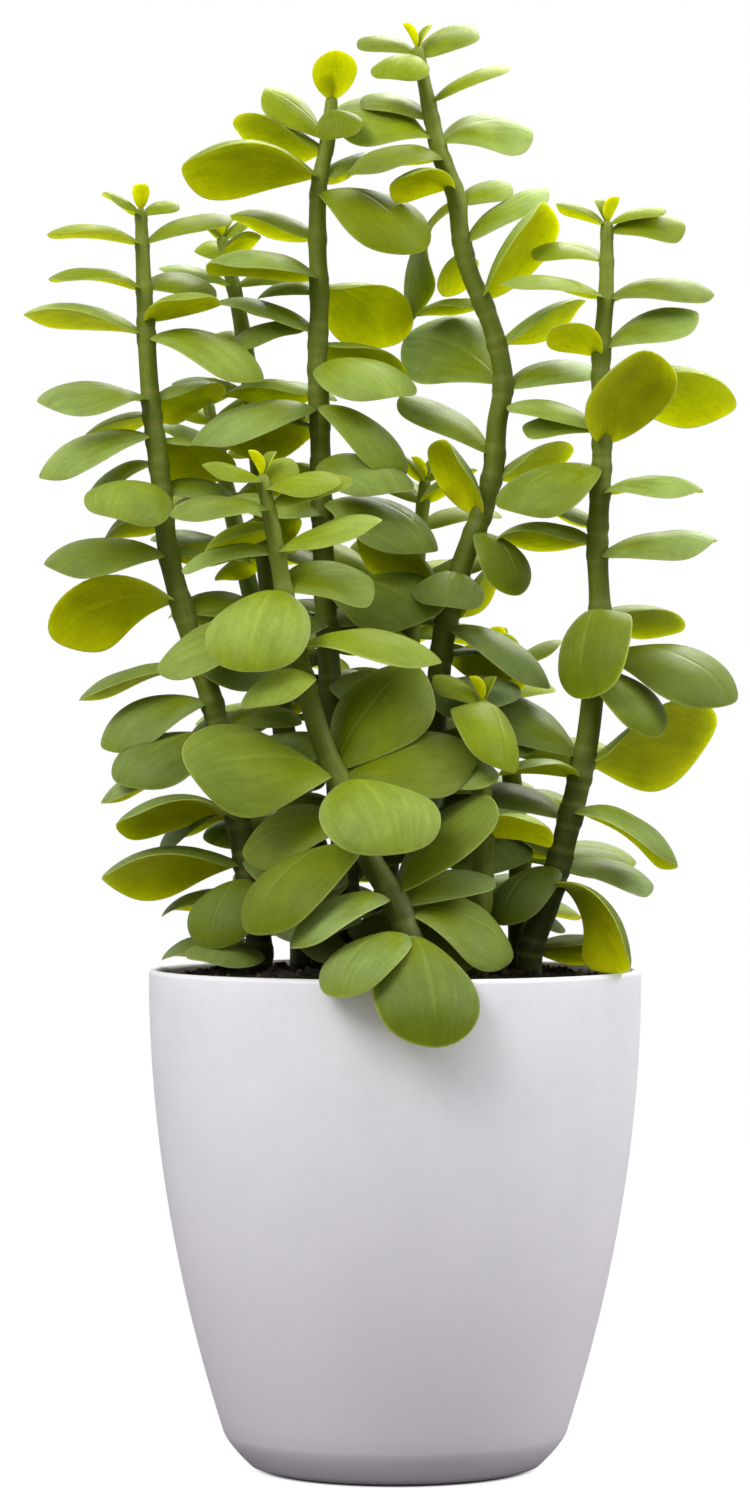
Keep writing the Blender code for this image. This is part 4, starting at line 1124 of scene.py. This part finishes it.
# %% Stalk surface
STALK_RING_STEP = 0.0011
STALK_SIDES = 16
STALK_ANGLES = np.linspace(0, 2 * np.pi, STALK_SIDES, endpoint=False)
NODE_SWELL = 0.13
NODE_REACH = 0.0022
SCAR_PLACE = 0.8
SCAR_REACH = 0.0005
SCAR_DEPTH = 0.05
FOUR_SIDED = 0.035
YOUNG_STALK = 0.06


def stalk_profile(route, leaves):
    """The height and radius of each ring, and how near it is to a scar. The radius grows by a
    bell curve at each leaf's height, less a narrow one for the scar."""
    top = route[-1, 2] + BUD_ABOVE_TOP_PAIR
    z = np.linspace(route[0, 2], top, int((top - route[0, 2]) / STALK_RING_STEP))
    roots = np.array([leaf.base[2] for leaf in leaves])
    away = np.abs(z[:, None] - roots[None, :]).min(axis=1)
    swell = NODE_SWELL * np.exp(-((away / NODE_REACH) ** 2))
    scar = np.exp(-(((away - NODE_REACH * SCAR_PLACE) / SCAR_REACH) ** 2))
    close = np.sqrt(np.clip((top - z) / STEM_TIP_RADIUS, 0, 1))
    plain = stem_radius(route, np.minimum(z, route[-1, 2]))
    return z, plain * (1 + swell - SCAR_DEPTH * scar) * close, scar


def rings_along(centre, radius):
    """Rings round the points of centre, square to the path through them. Their radius varies
    with four times the bearing."""
    forward = np.gradient(centre, axis=0)
    forward /= np.linalg.norm(forward, axis=1, keepdims=True)
    side = np.cross([0.0, 1.0, 0.0], forward)
    side /= np.linalg.norm(side, axis=1, keepdims=True)
    other = np.cross(forward, side)
    shape = radius[:, None] * (1 + FOUR_SIDED * np.cos(4 * STALK_ANGLES))
    return (
        centre[:, None, :]
        + (shape * np.cos(STALK_ANGLES))[..., None] * side[:, None, :]
        + (shape * np.sin(STALK_ANGLES))[..., None] * other[:, None, :]
    )


def stalk_object(stem, leaves):
    """The stalk as a shell. Each point keeps its height (0 to 1), how near it is to a scar, how
    young the stalk is there, and its bearing, counted from 0 to 1 down both sides."""
    route = whole_route(stem)
    z, radius, scar = stalk_profile(route, leaves)
    centre = axis_at(route, z)
    centre[:, 2] = z
    last = len(z) - 1
    points = shell_points(rings_along(centre, radius)[:last], centre[0], centre[last])
    foot, top = z[0], z[last]
    flat = np.ones((last, STALK_SIDES))
    marks = {
        "height": (z[:last, None] - foot) / (top - foot) * flat,
        "scar": scar[:last, None] * flat,
        "young": np.clip(1 - (top - z[:last, None]) / YOUNG_STALK, 0, 1) * flat,
        "turn": np.abs(STALK_ANGLES / np.pi - 1) * flat,
    }
    ends = {"height": (0, 1), "scar": (0, 0), "young": (0, 1), "turn": (0, 0)}
    marks = {mark: np.hstack([values.ravel(), ends[mark]]) for mark, values in marks.items()}
    name = stem.name.replace("_stem", "_stalk")
    return mesh_object(name, points, *shell_faces(last, STALK_SIDES), marks)


print("scars lie", NODE_REACH * SCAR_PLACE, "m from each leaf's root")

# %% Make all stems
leaf_pieces, stalk_pieces = [], []
for stem in STEMS:
    leaves = GROWN[stem.name]
    leafy, stalk = leaves_object(stem, leaves + bud_pair(stem)), stalk_object(stem, leaves)
    for piece in (leafy, stalk):
        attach(piece, "root")
        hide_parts(stem.name)
    leaf_pieces.append(leafy)
    stalk_pieces.append(stalk)
print("stems:", len(leaf_pieces), "leaf faces:", sum(len(o.data.polygons) for o in leaf_pieces))

# %% [markdown]
# ## Crumbs
# The crumbs are one twenty-sided lump repeated. Every copy gets its own size, stretch and turn,
# all as whole arrays, and sits half sunk in the soil.

# %% Lump with twenty sides
NEIGHBOURS_APART = (0.1, 1.2)


def twenty_sided():
    """Points and faces of an icosahedron: three golden rectangles, square to one another."""
    golden = (1 + 5**0.5) / 2
    corners = np.array([(-1, golden), (1, golden), (-1, -golden), (1, -golden)])
    zero = np.zeros((4, 1))
    points = np.vstack([
        np.hstack([corners, zero]),
        np.hstack([zero, corners]),
        np.hstack([corners[:, 1:], zero, corners[:, :1]]),
    ])
    points /= np.linalg.norm(points[0])
    gaps = np.linalg.norm(points[:, None] - points[None, :], axis=-1)
    near = (gaps > NEIGHBOURS_APART[0]) & (gaps < NEIGHBOURS_APART[1])
    faces = [
        (a, b, c)
        for a in range(12) for b in range(a + 1, 12) for c in range(b + 1, 12)
        if near[a, b] and near[b, c] and near[a, c]
    ]
    faces = np.array(faces)
    corners = points[faces]
    normal = np.cross(corners[:, 1] - corners[:, 0], corners[:, 2] - corners[:, 0])
    inward = (normal * corners.mean(axis=1)).sum(axis=1) < 0
    faces[inward] = faces[inward][:, ::-1]
    return points, faces


LUMP, LUMP_FACES = twenty_sided()
print("lump:", len(LUMP), "points,", len(LUMP_FACES), "faces")

# %% Crumbs of soil
CRUMBS = 900
CRUMB_SIZES = (0.0004, 0.0016)
CRUMB_SHARES = (0.5, 1)
CRUMB_SEED = 11
CRUMB_RISE = 0.35
CRUMB_EDGE_GAP = 0.0022
CRUMB_STEM_GAP = 0.0040
CRUMB_DENTS = (0.7, 1.3)
CRUMB_STRETCH = (0.7, 1.2)


def crumb_places(draw):
    """Seeded places all over the soil, as arrays of x, y and radius, clear of the stems. The
    square root keeps them as dense at the edge as in the middle."""
    radius = (SOIL_EDGE - CRUMB_EDGE_GAP) * np.sqrt(draw.uniform(0, 1, CRUMBS))
    bearing = draw.uniform(0, 2 * np.pi, CRUMBS)
    x, y = radius * np.cos(bearing), radius * np.sin(bearing)
    stems = np.array([stem.route[0][:2] for stem in STEMS]) * MM
    from_stem = np.hypot(x[:, None] - stems[:, 0], y[:, None] - stems[:, 1]).min(axis=1)
    free = from_stem > CRUMB_STEM_GAP
    return x[free], y[free], radius[free]


def crumbs_object():
    """All crumbs as one mesh: the lump dented, stretched, turned and scaled by seeded draws. A
    random turn is the Q of a random matrix's QR parts, with its sign set so that it mirrors
    nothing."""
    draw = np.random.default_rng(CRUMB_SEED)
    x, y, radius = crumb_places(draw)
    count, corners = len(x), len(LUMP)
    size = draw.uniform(*CRUMB_SIZES, count) * draw.uniform(*CRUMB_SHARES, count)
    z = soil_level(radius) + lumps(x, y, radius) + CRUMB_RISE * size
    dents = draw.uniform(*CRUMB_DENTS, (count, corners, 1))
    shape = LUMP[None] * dents * draw.uniform(*CRUMB_STRETCH, (count, 1, 3))
    turn = np.linalg.qr(draw.normal(size=(count, 3, 3)))[0]
    turn *= np.sign(np.linalg.det(turn))[:, None, None]
    turned = np.einsum("nij,nkj->nki", turn, shape) * size[:, None, None]
    points = turned + np.stack([x, y, z], axis=-1)[:, None, :]
    faces = (LUMP_FACES[None] + corners * np.arange(count)[:, None, None]).reshape(-1, 3)
    tint = np.repeat(draw.uniform(0, 1, count), corners)
    return mesh_object("soil_crumbs", points.reshape(-1, 3), faces[:0], faces, {"tint": tint})


crumbs = crumbs_object()
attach(crumbs, "root")
print("crumb faces:", len(crumbs.data.polygons))

# %% [markdown]
# ## Mottle
# Nothing grown, moulded or dug is one flat colour. A shared node group varies a surface softly:
# two noises of different size added up. It gives one value, which each material turns into
# colour, roughness or relief in its own measure.

# %% Mottle group
USUAL_DETAIL = 0.4
FINE_TIMES = 7.0
NOISE_REACH = (0.3, 0.7)


def noise(tree, place, scale, detail):
    """Smooth noise about 0.5, with bumps of the size 1 / scale."""
    made = add(tree, "TexNoise", None, {"Vector": place, "Scale": scale, "Detail": detail})
    return made.outputs["Fac"]


def mottle_group():
    """Output Value is about 0.5 everywhere, and wanders between 0 and 1 in blotches of the size
    1 / Scale, with finer ones on them by Detail."""
    group = bpy.data.node_groups.new("mottle", "ShaderNodeTree")
    sockets = {"Scale": "INPUT", "Detail": "INPUT", "Value": "OUTPUT"}
    for name, way in sockets.items():
        group.interface.new_socket(name, in_out=way, socket_type="NodeSocketFloat")
    start, end = group.nodes.new("NodeGroupInput"), group.nodes.new("NodeGroupOutput")
    place = add(group, "TexCoord").outputs["Object"]
    scale, detail = start.outputs["Scale"], start.outputs["Detail"]
    large = noise(group, place, scale, 2.0)
    fine = noise(group, place, product(group, scale, FINE_TIMES), 3.0)
    mixed = add(group, "Mix", None, {0: detail, 2: large, 3: fine}).outputs[0]
    spread = add(group, "MapRange", None, {0: mixed, 1: NOISE_REACH[0], 2: NOISE_REACH[1]})
    group.links.new(spread.outputs[0], end.inputs["Value"])
    return group


MOTTLE = mottle_group()


def mottle(tree, scale, detail=USUAL_DETAIL):
    """The mottle group placed in a material with its own size."""
    sizes = {"Scale": scale, "Detail": detail}
    return add(tree, "Group", {"node_tree": MOTTLE}, sizes).outputs["Value"]


def mottled(tree, scale, amount, least):
    """A number that wanders with the mottle, from least and up by amount."""
    return stretched(tree, mottle(tree, scale), amount, least)


def streaks(tree, steps, scale, detail, amount, least):
    """Noise drawn out into streaks, from least and up by amount. steps says for each attribute how
    fast the noise changes with it: fast across the streaks and slowly along them."""
    parts = [product(tree, attribute(tree, name), step) for name, step in steps.items()]
    place = add(tree, "CombineXYZ", None, dict(enumerate(parts))).outputs[0]
    return stretched(tree, noise(tree, place, scale, detail), amount, least)


print("mottle group ready")


# %% [markdown]
# ## Leaf material
# The flesh of a jade leaf is yellow-green, more so in young leaves, and a pale waxy bloom lies on
# it. The bloom gathers towards its tip and round its rim and differs from leaf to leaf, while the
# base stays fresh and yellow. It is painted only where the blade is level, so it is also painted
# sky sheen on tops that face up. There is a pale line along the margin and down the midrib. The
# underside is yellow-green, painted bright as the glow of light coming through it. All of this
# reads the numbers kept at each point, so it stays with the leaf. Some light enters the flesh and
# comes out nearby, which the Subsurface sockets give, and the Sheen sockets make the bloom paler
# where it is seen at a slant.

# %% Leaf masks
RIB_WIDTH = 0.09
RIB_NARROWING = -0.05
RIB_FADE = (0.95, 0.55)
LEAF_STREAKS = {"along": 2.5, "across": 9.0, "tint": 60.0}


def leaf_masks(tree):
    """The numbers of the leaf that colour and relief are built from."""
    across = maths(tree, "ABSOLUTE", attribute(tree, "across"))
    along, under = attribute(tree, "along"), attribute(tree, "under")
    rib_width = stretched(tree, along, RIB_NARROWING, RIB_WIDTH)
    rib = ramp_between(tree, maths(tree, "DIVIDE", across, rib_width), 1.0, 0.0)
    rib = product(tree, rib, ramp_between(tree, along, *RIB_FADE))
    return along, under, rib


def leaf_streaks(tree, amount=0.34, least=0.83):
    """Soft streaks along the blade, different on every leaf: from least, more by amount."""
    return streaks(tree, LEAF_STREAKS, 1.0, 3.0, amount, least)


def own_number(tree, times):
    """Another number of the leaf's own from 0 to 1: the fraction of times its tint."""
    return maths(tree, "FRACT", product(tree, attribute(tree, "tint"), times))


print("leaf masks ready")

# %% Leaf colour
# Flesh, and bloom with painted sky sheen, of a young, a middle and an old leaf; the underside,
# painted glowing yellow, of a young and an old one
FLESH = colour(134, 148, 8), colour(128, 144, 16), colour(102, 118, 22)
# The pale bloom colours below are partly wax and partly painted sky sheen on tops that face up
BLOOM_AND_SKY_SHEEN = colour(134, 150, 42), colour(150, 172, 92), colour(130, 150, 94)
# The underside colours are painted bright, as the glow of light shining through the leaf
UNDERSIDE_AND_GLOW = colour(226, 228, 6), colour(196, 198, 4)
LEAF_MARGIN, MIDRIB = colour(204, 218, 130), colour(172, 190, 80)
MARGIN_SHARE, MIDRIB_SHARE, FRESH_BASE_SHARE, RIM_BLOOM_SHARE = 0.50, 0.22, 0.7, 0.75
AGE_SPREAD = 0.3

# Between which two values of a mask a change takes place
PAST_YOUNG, PAST_MIDDLE, UNDERSIDE_AGES = (0.02, 0.30), (0.35, 1.0), (0.0, 0.7)
FRESH_BASE, TIP_BLOOM = (0.65, 0.05), (0.15, 0.95)
RIM_BLOOM, MARGIN_LINE = (0.60, 1.0), (0.93, 1.0)
# The bloom's range of levels paints sky sheen on tops that face up
SKY_SHEEN_LEVELS, OVER_THE_EDGE = (0.20, 0.90), (0.42, 0.62)


def of_age(tree, age, young, middle, old):
    """The colour that goes with the age: young at the tip of a stem, and old far below it."""
    fresh = blended(tree, ramp_between(tree, age, *PAST_YOUNG), young, middle)
    return blended(tree, ramp_between(tree, age, *PAST_MIDDLE), fresh, old)


def wax_bloom_and_sky_sheen(tree, along):
    """How thick the pale bloom lies: at its tip and round its rim, streaked and by a measure of
    each leaf's own, and only where the blade is level, its top lit by the sky, as painted sky
    sheen."""
    # painted sky sheen: the pale bloom shows only where the blade lies level, its top lit by the
    # sky
    level = ramp_between(tree, attribute(tree, "level"), *SKY_SHEEN_LEVELS)
    rim = ramp_between(tree, attribute(tree, "rim"), *RIM_BLOOM)
    tip = ramp_between(tree, along, *TIP_BLOOM)
    outer = maths(tree, "MAXIMUM", product(tree, rim, RIM_BLOOM_SHARE), tip)
    thickness = stretched(tree, own_number(tree, 7.0), 0.9, 0.3)
    return product(tree, level, outer, thickness, leaf_streaks(tree, 0.8, 0.6))


def leaf_top(tree, age, along, rib):
    """The flesh, fresher at the base of the leaf, under its bloom with painted sky sheen, and the
    pale midrib.
    """
    fresh_base = product(tree, ramp_between(tree, along, *FRESH_BASE), FRESH_BASE_SHARE)
    flesh = blended(tree, fresh_base, of_age(tree, age, *FLESH), FLESH[0])
    top = blended(tree, wax_bloom_and_sky_sheen(tree, along), flesh, of_age(tree, age, *BLOOM_AND_SKY_SHEEN))
    return blended(tree, product(tree, rib, MIDRIB_SHARE), top, MIDRIB)


def leaf_colour(tree):
    """The top, the yellow underside painted bright as light shining through, and the pale margin,
    in blotches, streaks and a shade of the leaf's own."""
    along, under, rib = leaf_masks(tree)
    spread = stretched(tree, attribute(tree, "tint"), AGE_SPREAD, -AGE_SPREAD / 2)
    age = maths(tree, "ADD", attribute(tree, "age"), spread)
    top = leaf_top(tree, age, along, rib)
    # painted glow: the underside is painted bright yellow, as light shining through
    below = blended(tree, ramp_between(tree, age, *UNDERSIDE_AGES), *UNDERSIDE_AND_GLOW)
    skin = blended(tree, ramp_between(tree, under, *OVER_THE_EDGE), top, below)
    margin = ramp_between(tree, attribute(tree, "rim"), *MARGIN_LINE)
    skin = blended(tree, product(tree, margin, MARGIN_SHARE), skin, LEAF_MARGIN)
    blotches = mottled(tree, scale=160, amount=0.30, least=0.85)
    own_shade = stretched(tree, own_number(tree, 13.0), 0.42, 0.72)
    return darkened(tree, skin, product(tree, blotches, leaf_streaks(tree), own_shade))


print("leaf colours:", len(FLESH + BLOOM_AND_SKY_SHEEN + UNDERSIDE_AND_GLOW) + 2)

# %% Leaf material
GROOVE_TURNS = (0.45, 0.55)


def leaf_relief(tree):
    """The midrib is a groove on top and a ridge below, and the skin has a fine grain."""
    _, under, rib = leaf_masks(tree)
    sign = stretched(tree, ramp_between(tree, under, *GROOVE_TURNS), 2.0, -1.0)
    grain = mottled(tree, scale=700, amount=0.12, least=leaf_streaks(tree, 0.18, 0.0))
    return maths(tree, "ADD", product(tree, rib, sign), grain)


leaf_skin = new_material(
    "jade_leaf",
    leaf_colour,
    lambda tree: mottled(tree, scale=260, amount=0.16, least=0.40),
    leaf_relief,
    strength=0.4, distance=0.0004,
    Subsurface_Weight=0.6, Subsurface_Radius=(0.9, 1.0, 0.2), Subsurface_Scale=0.003,
    Specular_IOR_Level=0.11,
    Sheen_Weight=0.03, Sheen_Roughness=0.4, Sheen_Tint=(0.75, 0.9, 0.45, 1),
)
for piece in leaf_pieces:
    piece.data.materials.append(leaf_skin)
print("leaf material on", len(leaf_pieces), "pieces")

# %% [markdown]
# ## Stalk, pot and soil materials
# The stalk is fresh green near its tip and dark olive at the soil, with a brownish ring at each
# scar and faint streaks down it. The pot is matt white with a cool cast, hardly mottled, with
# painted shade that darkens it towards its foot. The soil is nearly black, with crumbs of several
# browns.

# %% Stalk material
STALK_TOP, STALK_MIDDLE = colour(132, 148, 42), colour(104, 118, 26)
STALK_FOOT, STALK_SCAR = colour(62, 72, 22), colour(140, 140, 66)
SCAR_SHARE = 0.5
STALK_GREENS = (0.05, 0.5)
STALK_STREAKS = {"turn": 7.0, "height": 9.0}


def stalk_colour(tree):
    """Dark at the foot, green above it and fresh at the tip, with a brownish ring at each scar."""
    height = attribute(tree, "height")
    green = blended(tree, ramp_between(tree, height, *STALK_GREENS), STALK_FOOT, STALK_MIDDLE)
    green = blended(tree, attribute(tree, "young"), green, STALK_TOP)
    green = blended(tree, product(tree, attribute(tree, "scar"), SCAR_SHARE), green, STALK_SCAR)
    streaked = streaks(tree, STALK_STREAKS, 1.5, 4.0, 0.6, 0.7)
    blotches = mottled(tree, scale=200, amount=0.3, least=0.85)
    return darkened(tree, green, product(tree, streaked, blotches))


stalk_skin = new_material(
    "jade_stalk",
    stalk_colour,
    lambda tree: mottled(tree, scale=300, amount=0.2, least=0.42),
    lambda tree: mottle(tree, 500),
    strength=0.35, distance=0.0002,
    Subsurface_Weight=0.15, Subsurface_Radius=(0.8, 1.0, 0.3), Subsurface_Scale=0.001,
    Specular_IOR_Level=0.3,
)
for piece in stalk_pieces:
    piece.data.materials.append(stalk_skin)
print("stalk material on", len(stalk_pieces), "pieces")

# %% Pot material
# The foot colour is painted shade: the wall turns darker and more lilac towards its foot
POT_LIGHT, POT_DARK, POT_SHADED_FOOT = colour(247, 246, 250), colour(240, 238, 244), colour(228, 220, 231)


def pot_colour(tree):
    """White, hardly mottled, and darker and more lilac towards the foot: painted shade, as the
    lower wall faces down a little.
    """
    place = add(tree, "TexCoord").outputs["Object"]
    height = add(tree, "SeparateXYZ", None, {0: place}).outputs["Z"]
    white = blended(tree, mottle(tree, 60, 0.3), POT_DARK, POT_LIGHT)
    # painted shade: towards the foot the white turns darker and more lilac
    return blended(tree, ramp_between(tree, height, POT_HEIGHT, 0.0), white, POT_SHADED_FOOT)


pot_skin = new_material(
    "matt_white_pot",
    pot_colour,
    lambda tree: mottled(tree, scale=90, amount=0.12, least=0.42),
    lambda tree: mottle(tree, 450, 0.6),
    strength=0.12, distance=0.0002,
)
pot.data.materials.append(pot_skin)
print("pot material ready")

# %% Soil materials
SOIL_DARK, SOIL_LIGHT, CRUMB_LIGHT = colour(32, 24, 18), colour(70, 54, 40), colour(104, 82, 58)
CRUMB_TINTS = (0.3, 1.0)
CRUMB_BLOTCHES = 0.5

soil_skin = new_material(
    "potting_soil",
    lambda tree: blended(tree, mottle(tree, 500, 0.5), SOIL_DARK, SOIL_LIGHT),
    lambda tree: mottled(tree, scale=400, amount=0.1, least=0.86),
    lambda tree: mottle(tree, 900, 0.5),
    strength=0.9, distance=0.001,
)
soil.data.materials.append(soil_skin)


def crumb_colour(tree):
    """Each crumb a brown of its own, with dark blotches."""
    own_brown = ramp_between(tree, attribute(tree, "tint"), *CRUMB_TINTS)
    brown = blended(tree, own_brown, SOIL_DARK, CRUMB_LIGHT)
    return blended(tree, product(tree, mottle(tree, 900), CRUMB_BLOTCHES), brown, SOIL_DARK)


crumb_skin = new_material(
    "soil_crumb",
    crumb_colour,
    lambda tree: mottled(tree, scale=800, amount=0.1, least=0.85),
    lambda tree: mottle(tree, 1500, 0.5),
    strength=0.8, distance=0.0004,
)
crumbs.data.materials.append(crumb_skin)
print("soil materials ready")

# %% [markdown]
# ## Finish
# The finer surfaces have to stay in the box of the solid model. Every piece now has its finer
# surface and its material.


print("all pieces dressed")
